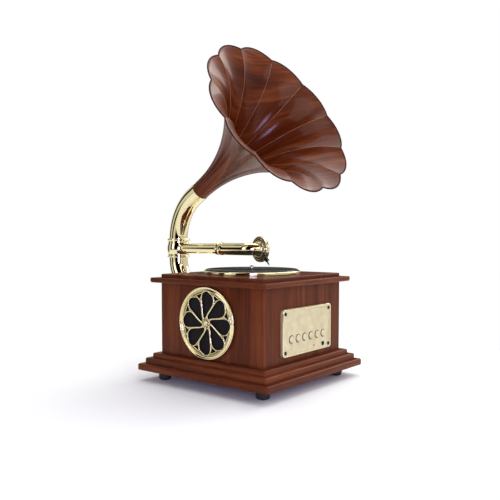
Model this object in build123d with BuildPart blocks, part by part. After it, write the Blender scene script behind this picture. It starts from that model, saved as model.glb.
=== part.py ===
# Gramophone-styled horn loudspeaker: a stepped wooden cabinet with a turntable, a brass tonearm and a
# petalled wooden horn on a brass gooseneck.  Millimetres, +Z up, the front (control plate) faces -Y.
# The origin is on the floor, at the middle of the whole object's plan box.
from build123d import *
import math
import os

os.makedirs("parts", exist_ok=True)

# ---------------------------------------------------------------- driving sizes: cabinet
BODY_W = 165.0             # the body is square in plan
BODY_H = 90.5
PANEL_T = 9.0
TOP_LOWER_T = 6.2          # moulded board under the top
TOP_LOWER_OUT = 10.2       # how far it stands out past the body
TOP_UPPER_T = 4.6          # top board, flush with the body
PLINTH_UPPER_T = 5.9
PLINTH_UPPER_OUT = 8.5
PLINTH_MIDDLE_T = 7.3
PLINTH_MIDDLE_OUT = 15.1
PLINTH_LOWER_T = 7.9
PLINTH_LOWER_OUT = 21.9
EDGE_ROUND = 2.2           # rounding of the moulded edges
CORNER_ROUND = 1.5         # rounding of the body's upright corners
PLINTH_OPENING = 118.0     # square opening through the two upper plinth boards
COVER_T = 3.0
COVER_MARGIN = 14.0        # the bottom cover reaches this far past the opening
COVER_GAP = 0.3
FOOT_R = 8.0
FOOT_H = 13.6
FOOT_INSET = 25.0          # foot axis from the plinth edge
FOOT_SCREW_R = 1.6
SCREW_HEAD_R = 3.0
SCREW_HEAD_H = 1.8
SCREW_R = 1.5
SCREW_L = 9.0

# ---------------------------------------------------------------- driving sizes: grille and loudspeaker
GRILLE_R = 44.0
GRILLE_RING_W = 5.4
GRILLE_PROUD = 4.0
GRILLE_SHIFT = 2.0         # towards the back of the left side
GRILLE_BELOW_TOP = 45.5    # grille centre below the top of the body
ROSETTE_T = 2.0
PETALS = 8
CLOTH_T = 0.8
SPEAKER_HOLE_R = 36.0
SPEAKER_FLANGE_R = 42.5
SPEAKER_FLANGE_T = 2.0
SPEAKER_DEPTH = 26.0
MAGNET_R = 22.0
MAGNET_T = 11.0

# ---------------------------------------------------------------- driving sizes: control plate
PLATE_W = 105.0
PLATE_H = 56.5
PLATE_T = 3.5
PLATE_CORNER = 4.0
PLATE_BORDER = 2.8         # raised rounded border
PLATE_FIELD_DEPTH = 0.5
PLATE_SHIFT = 2.5          # towards the right of the front
PLATE_BELOW_TOP = 54.9     # plate centre below the top of the body
PLATE_SCREW_INSET = 5.4
PLATE_SCREW_HEAD_R = 2.1
PLATE_SCREW_HEAD_H = 0.9
PLATE_SCREW_R = 1.2
PLATE_SCREW_L = 9.0
BUTTON_PITCH = 13.8
BUTTON_COUNT = 6
BUTTON_R = 4.3
BUTTON_FIT = 0.05
BUTTON_PROUD = 1.6
BUTTON_BELOW = 8.2         # button row below the plate centre
BUTTON_FLANGE_R = 5.4
BUTTON_FLANGE_T = 1.2
BUTTON_DISH = 0.9          # dished rim of each button hole
BUTTON_TRAVEL = 1.2
SLOT_MARGIN = 8.0
JACK_X = 34.2
JACK_BELOW = 21.4
JACK_NUT_R = 2.9
JACK_BORE_R = 1.8
JACK_BODY_R = 4.0
LAMP_X = 13.6
LAMP_R = 1.2
BOARD_T = 1.6
SWITCH_SIZE = 6.0
SWITCH_T = 3.8

# ---------------------------------------------------------------- driving sizes: turntable
PLATTER_R = 62.5
PLATTER_T = 3.6
PLATTER_GAP = 0.6
RECORD_R = 60.0
RECORD_T = 1.7
LABEL_R = 20.0
LABEL_T = 0.25
SPINDLE_R = 2.5
SPINDLE_ABOVE = 10.5       # spindle tip above the top board
SHAFT_R = 3.0
SHAFT_FIT = 0.05
BUSH_R = 6.0
MOTOR_R = 15.0
MOTOR_H = 18.0
PIN_GAP = 0.05

# ---------------------------------------------------------------- driving sizes: gooseneck and collar
PIPE_R = 13.0
PIPE_WALL = 1.2
COLLAR_BEHIND = 51.5       # collar axis behind the body's back face
COLLAR_ABOVE = 31.0        # collar middle above the top board
LOWER_BEND_R = 46.0
LOWER_STRAIGHT = 2.6       # straight of the lower pipe under the collar's lower ring
LOWER_RING_T = 2.8
UPPER_RING_T = 3.6
BARREL_H = 19.4
RING_R = 15.9
BARREL_WAIST_R = 14.4
COLLAR_GAP = 0.3
BARREL_FIT = 0.06
SPIGOT_FIT = 0.05
SPIGOT_L = 22.0
SPIGOT_WALL = 1.1
UPPER_RISE = 10.8          # collar middle to the start of the upper bend
UPPER_BEND_R = 70.0
UPPER_STRAIGHT = 14.5
FLANGE_R = 18.5
FLANGE_T = 3.0
FLANGE_SCREWS = 3
DRIVER_R = 19.0
DRIVER_T = 16.0
INLET_X = 50.0             # power inlet, towards the left side as seen from the back
INLET_ABOVE = 16.0         # inlet centre above the underside of the body
INLET_BORE_R = 2.8
INLET_R = 5.5
INLET_LIP_R = 7.0
INLET_LIP_T = 1.5
INLET_L = 14.0

# ---------------------------------------------------------------- driving sizes: horn
HORN_TURN = 6.6            # the gooseneck is turned this many degrees towards the left in the collar
HORN_TILT = 28.2           # horn axis above the horizontal
MOUTH_LEAN = 2.1           # the mouth plane leans this much further
HORN_LENGTH = 168.2
HORN_PETALS = 12
HORN_PHASE = 10.2          # first seam, degrees round the horn axis
NECK_R = 12.7
FLARE_R = 77.1             # gentle flare adds this much radius at the mouth
FLARE_POWER = 2.28
LIP_R = 17.3               # and the sharp lip adds this
LIP_POWER = 17.3
FLUTE_NECK = 0.035         # seam depth below the petal crest, as a share of the radius, at the neck
FLUTE_MOUTH = 0.057        # and at the mouth
FLUTE_POWER = 4            # most of the deepening is near the mouth
HORN_WALL = 2.4
HORN_SPIGOT_L = 14.0
HORN_STATIONS = (0.0, 0.14, 0.28, 0.40, 0.51, 0.61, 0.70, 0.78, 0.85, 0.905, 0.95, 0.98, 1.0)

# ---------------------------------------------------------------- driving sizes: tonearm and sound box
ARM_R = 7.2
ARM_WALL = 1.2
ARM_LENGTH = 77.5          # collar axis to the end of the straight tube
ARM_RING_R = 8.1
ARM_RING_L = 3.2
ELBOW_R = 8.0
ELBOW_FIT = 0.05
ELBOW_SPIGOT_L = 12.0
ELBOW_STRAIGHT = 44.0
ELBOW_BEND_R = 15.0
ELBOW_TURN = 73.6
BOX_R = 17.0
BOX_T = 7.0
BOX_RIM = 2.4
BOX_BACK_T = 2.0
DIAPHRAGM_T = 0.5
NEEDLE_ANGLE = 46.0        # needle below the horizontal
HOLDER_R = 2.0
HOLDER_L = 4.2
NEEDLE_R = 0.9
NEEDLE_L = 7.6
NEEDLE_ARM_W = 2.4
NEEDLE_ARM_T = 1.2
THUMB_R = 1.5
THUMB_L = 3.4

# ---------------------------------------------------------------- heights that follow from the sizes
Z_PLINTH = FOOT_H
Z_MIDDLE = Z_PLINTH + PLINTH_LOWER_T
Z_UPPER = Z_MIDDLE + PLINTH_MIDDLE_T
Z_BODY = Z_UPPER + PLINTH_UPPER_T
Z_BODY_TOP = Z_BODY + BODY_H
Z_TOP_LOWER = Z_BODY_TOP + TOP_LOWER_T
Z_TOP = Z_TOP_LOWER + TOP_UPPER_T
Z_COLLAR = Z_TOP + COLLAR_ABOVE
HALF = BODY_W / 2

# ---------------------------------------------------------------- horn geometry, seen from the collar axis
turn = math.radians(HORN_TURN)
AHEAD = Vector(-math.sin(turn), -math.cos(turn), 0)      # level direction in which the horn points
ACROSS = Vector(math.cos(turn), -math.sin(turn), 0)      # level, across the horn
UP = Vector(0, 0, 1)
bend_angle = 90.0 - HORN_TILT
bend = math.radians(bend_angle)
tilt = math.radians(HORN_TILT)
neck_ahead = UPPER_BEND_R * (1 - math.cos(bend)) + UPPER_STRAIGHT * math.cos(tilt)
neck_above = UPPER_RISE + UPPER_BEND_R * math.sin(bend) + UPPER_STRAIGHT * math.sin(tilt)


def along(angle):
    """Direction in the horn's upright plane, this many degrees above the level."""
    a = math.radians(angle)
    return AHEAD * math.cos(a) + UP * math.sin(a)


def crest_radius(u):
    """Radius of the petal crests at the share u of the horn's length."""
    return NECK_R + FLARE_R * u**FLARE_POWER + LIP_R * u**LIP_POWER


def flute_depth(u):
    """How far the seams lie inside the crests at the share u of the horn's length."""
    return crest_radius(u) * (FLUTE_NECK + (FLUTE_MOUTH - FLUTE_NECK) * u**FLUTE_POWER)


def from_collar(u, angle, radius):
    """Point on the horn, relative to the collar axis at the collar's middle height."""
    axis = along(HORN_TILT + MOUTH_LEAN * u)
    side = axis.cross(ACROSS)
    a = math.radians(angle)
    centre = AHEAD * neck_ahead + UP * neck_above + along(HORN_TILT) * (HORN_LENGTH * u)
    return centre + ACROSS * (radius * math.cos(a)) + side * (radius * math.sin(a))


# the plan box of the whole object, from the plinth, the collar and the petal crests of the mouth
petal_angles = [HORN_PHASE + 360.0 / HORN_PETALS * (k + 0.5) for k in range(HORN_PETALS)]
rim = [from_collar(1.0, a, crest_radius(1.0)) for a in petal_angles]
plinth_half = HALF + PLINTH_LOWER_OUT
collar_y = HALF + COLLAR_BEHIND
left_end = min([-plinth_half] + [p.X for p in rim])
right_end = max([plinth_half] + [p.X for p in rim])
front_end = min([-plinth_half] + [collar_y + p.Y for p in rim])
back_end = max(plinth_half, collar_y + RING_R)
CAB_X = -(left_end + right_end) / 2
CAB_Y = -(front_end + back_end) / 2

# ---------------------------------------------------------------- planes
floor = Plane(origin=(CAB_X, CAB_Y, 0))
left_face = Plane(
    origin=(CAB_X - HALF, CAB_Y + GRILLE_SHIFT, Z_BODY_TOP - GRILLE_BELOW_TOP),
    x_dir=(0, -1, 0), z_dir=(-1, 0, 0),
)
front_face = Plane(
    origin=(CAB_X + PLATE_SHIFT, CAB_Y - HALF, Z_BODY_TOP - PLATE_BELOW_TOP),
    x_dir=(1, 0, 0), z_dir=(0, -1, 0),
)
pipe_z = Z_COLLAR - BARREL_H / 2 - COLLAR_GAP - LOWER_RING_T - LOWER_STRAIGHT - LOWER_BEND_R
back_face = Plane(origin=(CAB_X, CAB_Y + HALF, pipe_z), x_dir=(-1, 0, 0), z_dir=(0, 1, 0))
collar = Plane(origin=(CAB_X, CAB_Y + collar_y, Z_COLLAR), x_dir=(0, -1, 0), z_dir=(0, 0, 1))


def turning(face):
    """Section plane and axis for turned pieces: first coordinate is height off the face, second radius."""
    section = Plane(origin=face.origin, x_dir=face.z_dir, z_dir=face.y_dir)
    return section, Axis(face.origin, face.z_dir)


def finish(piece, name):
    """Label a finished piece and write its STEP file."""
    piece.part.label = name
    export_step(piece.part, "parts/" + name + ".step")


def ring_of(face, inner, outer, low, high):
    """A plain ring standing on a face."""
    with BuildPart() as ring:
        with BuildSketch(face.offset(low)):
            Circle(outer)
            if inner > 0:
                Circle(inner, mode=Mode.SUBTRACT)
        extrude(amount=high - low)
    return ring


# ================================================================ cabinet panels, mitred at the corners
slot_w = BUTTON_PITCH * (BUTTON_COUNT - 1) + 2 * SLOT_MARGIN
slot_top = -BUTTON_BELOW + SLOT_MARGIN
slot_bottom = -JACK_BELOW - SLOT_MARGIN + 2
inner = HALF - PANEL_T
straight = HALF - CORNER_ROUND                         # where the flat face meets the rounded corner
mitre = straight + CORNER_ROUND * math.sqrt(0.5)
near_x = straight + CORNER_ROUND * math.sin(math.pi / 8)
near_y = straight + CORNER_ROUND * math.cos(math.pi / 8)
for name, angle in (("front_panel", 0), ("right_panel", 90), ("back_panel", 180), ("left_panel", 270)):
    with BuildPart() as panel:
        with BuildSketch(floor.offset(Z_BODY).rotated((0, 0, angle))):
            with BuildLine():
                Polyline((-mitre, -mitre), (-inner, -inner), (inner, -inner), (mitre, -mitre))
                ThreePointArc((mitre, -mitre), (near_x, -near_y), (straight, -HALF))
                Line((straight, -HALF), (-straight, -HALF))
                ThreePointArc((-straight, -HALF), (-near_x, -near_y), (-mitre, -mitre))
            make_face()
        extrude(amount=BODY_H)
        if name == "front_panel":
            with BuildSketch(front_face):
                with Locations((0, (slot_top + slot_bottom) / 2)):
                    Rectangle(slot_w, slot_top - slot_bottom)
                with GridLocations(PLATE_W - 2 * PLATE_SCREW_INSET, PLATE_H - 2 * PLATE_SCREW_INSET, 2, 2):
                    Circle(PLATE_SCREW_R)
            extrude(amount=-PANEL_T, mode=Mode.SUBTRACT)
        if name == "left_panel":
            with BuildSketch(left_face):
                Circle(SPEAKER_HOLE_R)
            extrude(amount=-PANEL_T, mode=Mode.SUBTRACT)
        if name == "back_panel":
            with BuildSketch(back_face):
                Circle(PIPE_R)
                with PolarLocations((PIPE_R + FLANGE_R) / 2, FLANGE_SCREWS, start_angle=90):
                    Circle(PLATE_SCREW_R)
                with Locations((INLET_X, Z_BODY + INLET_ABOVE - pipe_z)):
                    Circle(INLET_R)
            extrude(amount=-PANEL_T, mode=Mode.SUBTRACT)
    finish(panel, name)

# ================================================================ top, plinth and bottom boards
cover_w = PLINTH_OPENING + 2 * COVER_MARGIN
cover_low = Z_MIDDLE - COVER_T
foot_span = 2 * (plinth_half - FOOT_INSET)
cover_screw_span = PLINTH_OPENING + COVER_MARGIN
lower_opening = cover_w + 2 * COVER_GAP
# name, overhang past the body, underside, thickness, square opening, rounding above, rounding below
boards = (
    ("top_board", 0, Z_TOP_LOWER, TOP_UPPER_T, 0, EDGE_ROUND / 2, 0),
    ("top_moulding_board", TOP_LOWER_OUT, Z_BODY_TOP, TOP_LOWER_T, 0, EDGE_ROUND / 2, EDGE_ROUND),
    ("plinth_upper_board", PLINTH_UPPER_OUT, Z_UPPER, PLINTH_UPPER_T, PLINTH_OPENING, EDGE_ROUND, 0),
    ("plinth_middle_board", PLINTH_MIDDLE_OUT, Z_MIDDLE, PLINTH_MIDDLE_T, PLINTH_OPENING, EDGE_ROUND, 0),
    ("plinth_lower_board", PLINTH_LOWER_OUT, Z_PLINTH, PLINTH_LOWER_T, lower_opening, EDGE_ROUND, 0),
    ("bottom_cover", (cover_w - BODY_W) / 2, cover_low, COVER_T, 0, 0, 0),
)
for name, out, low, height, opening, round_above, round_below in boards:
    with BuildPart() as board:
        with BuildSketch(floor.offset(low)):
            corner_round = max(round_above, round_below) + CORNER_ROUND - EDGE_ROUND / 2
            RectangleRounded(BODY_W + 2 * out, BODY_W + 2 * out, corner_round)
        extrude(amount=height)
        if round_above > 0:
            fillet(board.edges().group_by(Axis.Z)[-1], round_above)
        if round_below > 0:
            fillet(board.edges().group_by(Axis.Z)[0], round_below)
        if opening > 0:
            with BuildSketch(floor.offset(low)):
                Rectangle(opening, opening)
            extrude(amount=height, mode=Mode.SUBTRACT)
        if name.startswith("top"):
            with BuildSketch(floor.offset(low)):
                Circle(BUSH_R)
            extrude(amount=height, mode=Mode.SUBTRACT)
        if name == "plinth_lower_board":
            with BuildSketch(floor.offset(low)):
                with GridLocations(foot_span, foot_span, 2, 2):
                    Circle(FOOT_SCREW_R)
            extrude(amount=height, mode=Mode.SUBTRACT)
        if name in ("plinth_middle_board", "bottom_cover"):
            with BuildSketch(floor.offset(low)):
                with GridLocations(cover_screw_span, cover_screw_span / 2, 2, 3):
                    Circle(SCREW_R)
            extrude(amount=min(height, SCREW_L - COVER_T), mode=Mode.SUBTRACT)
    finish(board, name)

with BuildPart() as feet:
    with BuildSketch(floor.offset(Z_PLINTH)):
        with GridLocations(foot_span, foot_span, 2, 2):
            Circle(FOOT_R)
    extrude(amount=-FOOT_H)
    fillet(feet.edges().group_by(Axis.Z)[0], FOOT_R * 0.4)
    with BuildSketch(floor):
        with GridLocations(foot_span, foot_span, 2, 2):
            Circle(SCREW_HEAD_R)
    extrude(amount=FOOT_H / 2, mode=Mode.SUBTRACT)
    with BuildSketch(floor.offset(FOOT_H / 2)):
        with GridLocations(foot_span, foot_span, 2, 2):
            Circle(FOOT_SCREW_R)
    extrude(amount=FOOT_H / 2, mode=Mode.SUBTRACT)
finish(feet, "rubber_feet")

with BuildPart() as foot_screws:
    with BuildSketch(floor.offset(FOOT_H / 2)):
        with GridLocations(foot_span, foot_span, 2, 2):
            Circle(SCREW_HEAD_R)
    extrude(amount=-SCREW_HEAD_H)
    with BuildSketch(floor.offset(FOOT_H / 2)):
        with GridLocations(foot_span, foot_span, 2, 2):
            Circle(FOOT_SCREW_R)
    extrude(amount=FOOT_H / 2 + PLINTH_LOWER_T)
finish(foot_screws, "foot_screws")

# ================================================================ grille on the left side
grille_inner = GRILLE_R - GRILLE_RING_W
section, axis = turning(left_face)
bead = GRILLE_RING_W * 0.32
with BuildPart() as grille_ring:
    with BuildSketch(section):
        with Locations((0, (GRILLE_R + grille_inner) / 2)):
            Rectangle(GRILLE_PROUD - bead, GRILLE_RING_W, align=(Align.MIN, Align.CENTER))
        with Locations((GRILLE_PROUD - bead, GRILLE_R - bead), (GRILLE_PROUD - bead, grille_inner + bead)):
            Circle(bead)
    revolve(axis=axis)
finish(grille_ring, "grille_ring")

petal_outline = (
    (0.16, 18), (0.24, -1), (0.34, -10), (0.52, -19), (0.70, -21.5), (0.86, -16), (0.955, -5.5),
    (0.99, 3), (0.92, 12), (0.75, 16.5), (0.54, 19.5), (0.36, 25), (0.24, 31),
)
spandrel_outline = ((0.955, 8), (0.955, -11), (0.77, 0))


def on_rosette(outline, turned):
    """Points of a rosette opening from shares of the rosette radius and degrees round it."""
    points = []
    for share, degrees in outline:
        a = math.radians(degrees + turned)
        points.append((grille_inner * share * math.cos(a), grille_inner * share * math.sin(a)))
    return points


petal_pitch = 360.0 / PETALS
with BuildPart() as rosette:
    with BuildSketch(left_face.offset(CLOTH_T)):
        Circle(grille_inner)
    extrude(amount=ROSETTE_T)
    for k in range(PETALS):
        petal_turn = 87 + petal_pitch * k
        with BuildSketch(left_face.offset(CLOTH_T)):
            with BuildLine():
                Spline(*on_rosette(petal_outline, petal_turn), periodic=True)
            make_face()
            Polygon(*on_rosette(spandrel_outline, petal_turn - petal_pitch / 2), align=None)
        extrude(amount=ROSETTE_T, mode=Mode.SUBTRACT)
    with BuildSketch(left_face.offset(CLOTH_T + ROSETTE_T)):
        Circle(grille_inner * 0.13)
    extrude(amount=1.4)
    fillet(rosette.faces().sort_by(Axis.X)[0].edges(), 0.8)
finish(rosette, "grille_rosette")

finish(ring_of(left_face, 0, grille_inner, 0, CLOTH_T), "speaker_cloth")

# ================================================================ loudspeaker behind the grille
back_of_panel = -PANEL_T
cone_edge = SPEAKER_HOLE_R - 2
surround_in = cone_edge - 6
coil_r = 11.0
with BuildPart() as basket:
    with BuildSketch(section):
        Polygon(
            (back_of_panel, SPEAKER_FLANGE_R), (back_of_panel - SPEAKER_FLANGE_T, SPEAKER_FLANGE_R),
            (back_of_panel - SPEAKER_FLANGE_T, cone_edge + 1), (back_of_panel - SPEAKER_DEPTH, MAGNET_R),
            (back_of_panel - SPEAKER_DEPTH, coil_r + 1), (back_of_panel - SPEAKER_DEPTH + 1.6, coil_r + 1),
            (back_of_panel - SPEAKER_DEPTH + 1.6, MAGNET_R - 1),
            (back_of_panel - SPEAKER_FLANGE_T, cone_edge - 1), (back_of_panel, cone_edge - 1), align=None,
        )
    revolve(axis=axis)
    with BuildSketch(left_face.offset(back_of_panel - SPEAKER_FLANGE_T)):
        with PolarLocations((SPEAKER_FLANGE_R + cone_edge) / 2 + 1.6, 4, start_angle=45):
            Circle(SCREW_R)
    extrude(amount=SPEAKER_FLANGE_T, mode=Mode.SUBTRACT)
finish(basket, "speaker_basket")

with BuildPart() as surround:
    with BuildSketch(section):
        with Locations((back_of_panel - 0.1, (cone_edge - 1 + surround_in) / 2)):
            Circle((cone_edge - 1 - surround_in) / 2)
            Circle((cone_edge - 1 - surround_in) / 2 - 0.8, mode=Mode.SUBTRACT)
            Rectangle(SPEAKER_HOLE_R, SPEAKER_HOLE_R, align=(Align.MAX, Align.CENTER), mode=Mode.SUBTRACT)
    revolve(axis=axis)
finish(surround, "speaker_surround")

cone_deep = back_of_panel - 15.0
with BuildPart() as cone:
    with BuildSketch(section):
        Polygon(
            (back_of_panel - 0.1, surround_in + 0.8), (back_of_panel - 1.1, surround_in + 0.8),
            (cone_deep - 1.0, coil_r), (cone_deep, coil_r), align=None,
        )
    revolve(axis=axis)
finish(cone, "speaker_cone")

with BuildPart() as dust_cap:
    with BuildSketch(section):
        Polygon(
            (cone_deep, 0), (cone_deep, coil_r), (cone_deep + 2.2, coil_r * 0.8),
            (cone_deep + 4.0, coil_r * 0.4), (cone_deep + 4.6, 0), align=None,
        )
    revolve(axis=axis)
finish(dust_cap, "speaker_dust_cap")

magnet_low = back_of_panel - SPEAKER_DEPTH - MAGNET_T
finish(ring_of(left_face, 0, MAGNET_R, magnet_low, magnet_low + MAGNET_T), "speaker_magnet")

# wood screws: six through the bottom cover, four through the loudspeaker flange
speaker_screw_ring = (SPEAKER_FLANGE_R + cone_edge) / 2 + 1.6
with BuildPart() as wood_screws:
    with BuildSketch(floor.offset(cover_low)):
        with GridLocations(cover_screw_span, cover_screw_span / 2, 2, 3):
            Circle(SCREW_HEAD_R)
    extrude(amount=-SCREW_HEAD_H)
    with BuildSketch(floor.offset(cover_low)):
        with GridLocations(cover_screw_span, cover_screw_span / 2, 2, 3):
            Circle(SCREW_R)
    extrude(amount=SCREW_L)
    with BuildSketch(left_face.offset(back_of_panel - SPEAKER_FLANGE_T)):
        with PolarLocations(speaker_screw_ring, 4, start_angle=45):
            Circle(SCREW_HEAD_R * 0.8)
    extrude(amount=-SCREW_HEAD_H)
    with BuildSketch(left_face.offset(back_of_panel - SPEAKER_FLANGE_T)):
        with PolarLocations(speaker_screw_ring, 4, start_angle=45):
            Circle(SCREW_R)
    extrude(amount=SPEAKER_FLANGE_T)
finish(wood_screws, "wood_screws")

# ================================================================ control plate on the front
screw_grid = (PLATE_W - 2 * PLATE_SCREW_INSET, PLATE_H - 2 * PLATE_SCREW_INSET, 2, 2)
field = PLATE_T - PLATE_FIELD_DEPTH
row_start = -BUTTON_PITCH * (BUTTON_COUNT - 1) / 2
button_places = [(row_start + BUTTON_PITCH * k, -BUTTON_BELOW) for k in range(BUTTON_COUNT)]
with BuildPart() as control_plate:
    with BuildSketch(front_face):
        RectangleRounded(PLATE_W, PLATE_H, PLATE_CORNER)
    extrude(amount=PLATE_T)
    fillet(control_plate.faces().sort_by(Axis.Y)[0].edges(), PLATE_BORDER * 0.5)
    with BuildSketch(front_face.offset(field)):
        RectangleRounded(PLATE_W - 2 * PLATE_BORDER, PLATE_H - 2 * PLATE_BORDER, PLATE_CORNER / 2)
    extrude(amount=PLATE_FIELD_DEPTH, mode=Mode.SUBTRACT)
    for place in button_places:
        with BuildSketch(front_face.offset(field - BUTTON_DISH)):
            with Locations(place):
                Circle(BUTTON_R + BUTTON_FIT)
        with BuildSketch(front_face.offset(field)):
            with Locations(place):
                Circle(BUTTON_R + BUTTON_DISH)
        loft(mode=Mode.SUBTRACT)
    with BuildSketch(front_face):
        with Locations(*button_places):
            Circle(BUTTON_R + BUTTON_FIT)
        with Locations((JACK_X, -JACK_BELOW)):
            Circle(JACK_NUT_R)
        with Locations((LAMP_X, -JACK_BELOW)):
            Circle(LAMP_R)
        with GridLocations(*screw_grid):
            Circle(PLATE_SCREW_R)
    extrude(amount=PLATE_T, mode=Mode.SUBTRACT)
finish(control_plate, "control_plate")

for k, place in enumerate(button_places):
    with BuildPart() as button:
        with BuildSketch(front_face.offset(-0.1 - BUTTON_FLANGE_T)):
            with Locations(place):
                Circle(BUTTON_FLANGE_R)
        extrude(amount=BUTTON_FLANGE_T)
        with BuildSketch(front_face.offset(-0.1)):
            with Locations(place):
                Circle(BUTTON_R)
        extrude(amount=field + BUTTON_PROUD + 0.1)
        fillet(button.faces().sort_by(Axis.Y)[0].edges(), BUTTON_PROUD)
        with BuildSketch(front_face.offset(-0.1 - BUTTON_FLANGE_T)):
            with Locations(place):
                Circle(BUTTON_R / 2)
        extrude(amount=-(PANEL_T - SWITCH_T - BUTTON_TRAVEL - 0.4 - BUTTON_FLANGE_T))
    finish(button, "button_" + str(k + 1))

with BuildPart() as switches:
    with BuildSketch(front_face.offset(-PANEL_T)):
        with Locations(*button_places):
            Rectangle(SWITCH_SIZE, SWITCH_SIZE)
    extrude(amount=SWITCH_T)
finish(switches, "button_switches")

with BuildPart() as jack:
    with BuildSketch(front_face.offset(-PANEL_T)):
        with Locations((JACK_X, -JACK_BELOW)):
            Circle(JACK_BODY_R)
    extrude(amount=PANEL_T)
    with BuildSketch(front_face):
        with Locations((JACK_X, -JACK_BELOW)):
            Circle(JACK_NUT_R)
    extrude(amount=field + 0.4)
    with BuildSketch(front_face.offset(-PANEL_T)):
        with Locations((JACK_X, -JACK_BELOW)):
            Circle(JACK_BORE_R)
    extrude(amount=PANEL_T + PLATE_T, mode=Mode.SUBTRACT)
finish(jack, "audio_jack")

with BuildPart() as lamp:
    with BuildSketch(front_face.offset(-PANEL_T)):
        with Locations((LAMP_X, -JACK_BELOW)):
            Circle(LAMP_R)
    extrude(amount=PANEL_T + field + 0.4)
    fillet(lamp.faces().sort_by(Axis.Y)[0].edges(), 0.4)
finish(lamp, "status_lamp")

with BuildPart() as board:
    with BuildSketch(front_face.offset(-PANEL_T)):
        with Locations((0, (slot_top + slot_bottom) / 2)):
            Rectangle(slot_w + 12, slot_top - slot_bottom + 12)
    extrude(amount=-BOARD_T)
finish(board, "control_board")

# slotted screws of the plate and of the gooseneck flange
flange_screw_ring = (PIPE_R + FLANGE_R) / 2
with BuildPart() as brass_screws:
    with BuildSketch(front_face.offset(field)):
        with GridLocations(*screw_grid):
            Circle(PLATE_SCREW_HEAD_R)
            Rectangle(PLATE_SCREW_HEAD_R * 2, 0.5, mode=Mode.SUBTRACT)
    extrude(amount=PLATE_SCREW_HEAD_H)
    with BuildSketch(back_face.offset(FLANGE_T)):
        with PolarLocations(flange_screw_ring, FLANGE_SCREWS, start_angle=90):
            Circle(PLATE_SCREW_HEAD_R)
            Rectangle(PLATE_SCREW_HEAD_R * 2, 0.5, mode=Mode.SUBTRACT)
    extrude(amount=PLATE_SCREW_HEAD_H)
    with BuildSketch(front_face.offset(field)):
        with GridLocations(*screw_grid):
            Circle(PLATE_SCREW_HEAD_R)
    extrude(amount=PLATE_SCREW_HEAD_H / 2)
    with BuildSketch(back_face.offset(FLANGE_T)):
        with PolarLocations(flange_screw_ring, FLANGE_SCREWS, start_angle=90):
            Circle(PLATE_SCREW_HEAD_R)
    extrude(amount=PLATE_SCREW_HEAD_H / 2)
    with BuildSketch(front_face.offset(field)):
        with GridLocations(*screw_grid):
            Circle(PLATE_SCREW_R)
    extrude(amount=-PLATE_SCREW_L)
    with BuildSketch(back_face.offset(FLANGE_T)):
        with PolarLocations(flange_screw_ring, FLANGE_SCREWS, start_angle=90):
            Circle(PLATE_SCREW_R)
    extrude(amount=-PLATE_SCREW_L)
finish(brass_screws, "brass_screws")

# ================================================================ power inlet low on the back
inlet_place = (INLET_X, Z_BODY + INLET_ABOVE - pipe_z)
with BuildPart() as inlet:
    with BuildSketch(back_face):
        with Locations(inlet_place):
            Circle(INLET_LIP_R)
    extrude(amount=INLET_LIP_T)
    with BuildSketch(back_face):
        with Locations(inlet_place):
            Circle(INLET_R)
    extrude(amount=-INLET_L)
    with BuildSketch(back_face.offset(INLET_LIP_T)):
        with Locations(inlet_place):
            Circle(INLET_BORE_R)
    extrude(amount=-(INLET_L - 2), mode=Mode.SUBTRACT)
finish(inlet, "power_inlet")

# ================================================================ turntable
platter_low = Z_TOP + PLATTER_GAP
record_low = platter_low + PLATTER_T
spindle_top = Z_TOP + SPINDLE_ABOVE
bush_low = Z_BODY_TOP
shaft_low = bush_low - MOTOR_H
spindle_section = Plane(origin=floor.origin, x_dir=(0, 0, 1), z_dir=(0, 1, 0))
spindle_axis = Axis(floor.origin, (0, 0, 1))
with BuildPart() as platter:
    with BuildSketch(floor.offset(platter_low)):
        Circle(PLATTER_R)
        Circle(SHAFT_R, mode=Mode.SUBTRACT)
    extrude(amount=PLATTER_T)
    fillet(platter.edges().group_by(Axis.Z)[-1].sort_by(SortBy.LENGTH)[-1], PLATTER_R - RECORD_R - 1)
finish(platter, "platter")

with BuildPart() as record:
    with BuildSketch(floor.offset(record_low)):
        Circle(RECORD_R)
        Circle(SPINDLE_R + PIN_GAP, mode=Mode.SUBTRACT)
    extrude(amount=RECORD_T)
    chamfer(record.edges().sort_by(SortBy.LENGTH)[-2:], 0.35)
finish(record, "record_disc")

label_low = record_low + RECORD_T
finish(ring_of(floor, SPINDLE_R + PIN_GAP, LABEL_R, label_low, label_low + LABEL_T), "record_label")

with BuildPart() as spindle:
    with BuildSketch(floor.offset(shaft_low + 1)):
        Circle(SHAFT_R)
    extrude(amount=record_low - shaft_low - 1)
    with BuildSketch(floor.offset(record_low)):
        Circle(SPINDLE_R)
    extrude(amount=spindle_top - record_low)
    fillet(spindle.edges().group_by(Axis.Z)[-1], SPINDLE_R * 0.7)
finish(spindle, "platter_spindle")

finish(ring_of(floor, SHAFT_R + SHAFT_FIT, BUSH_R, bush_low, Z_TOP), "platter_bush")
finish(ring_of(floor, SHAFT_R + SHAFT_FIT, MOTOR_R, bush_low - MOTOR_H, bush_low), "platter_motor")

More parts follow.
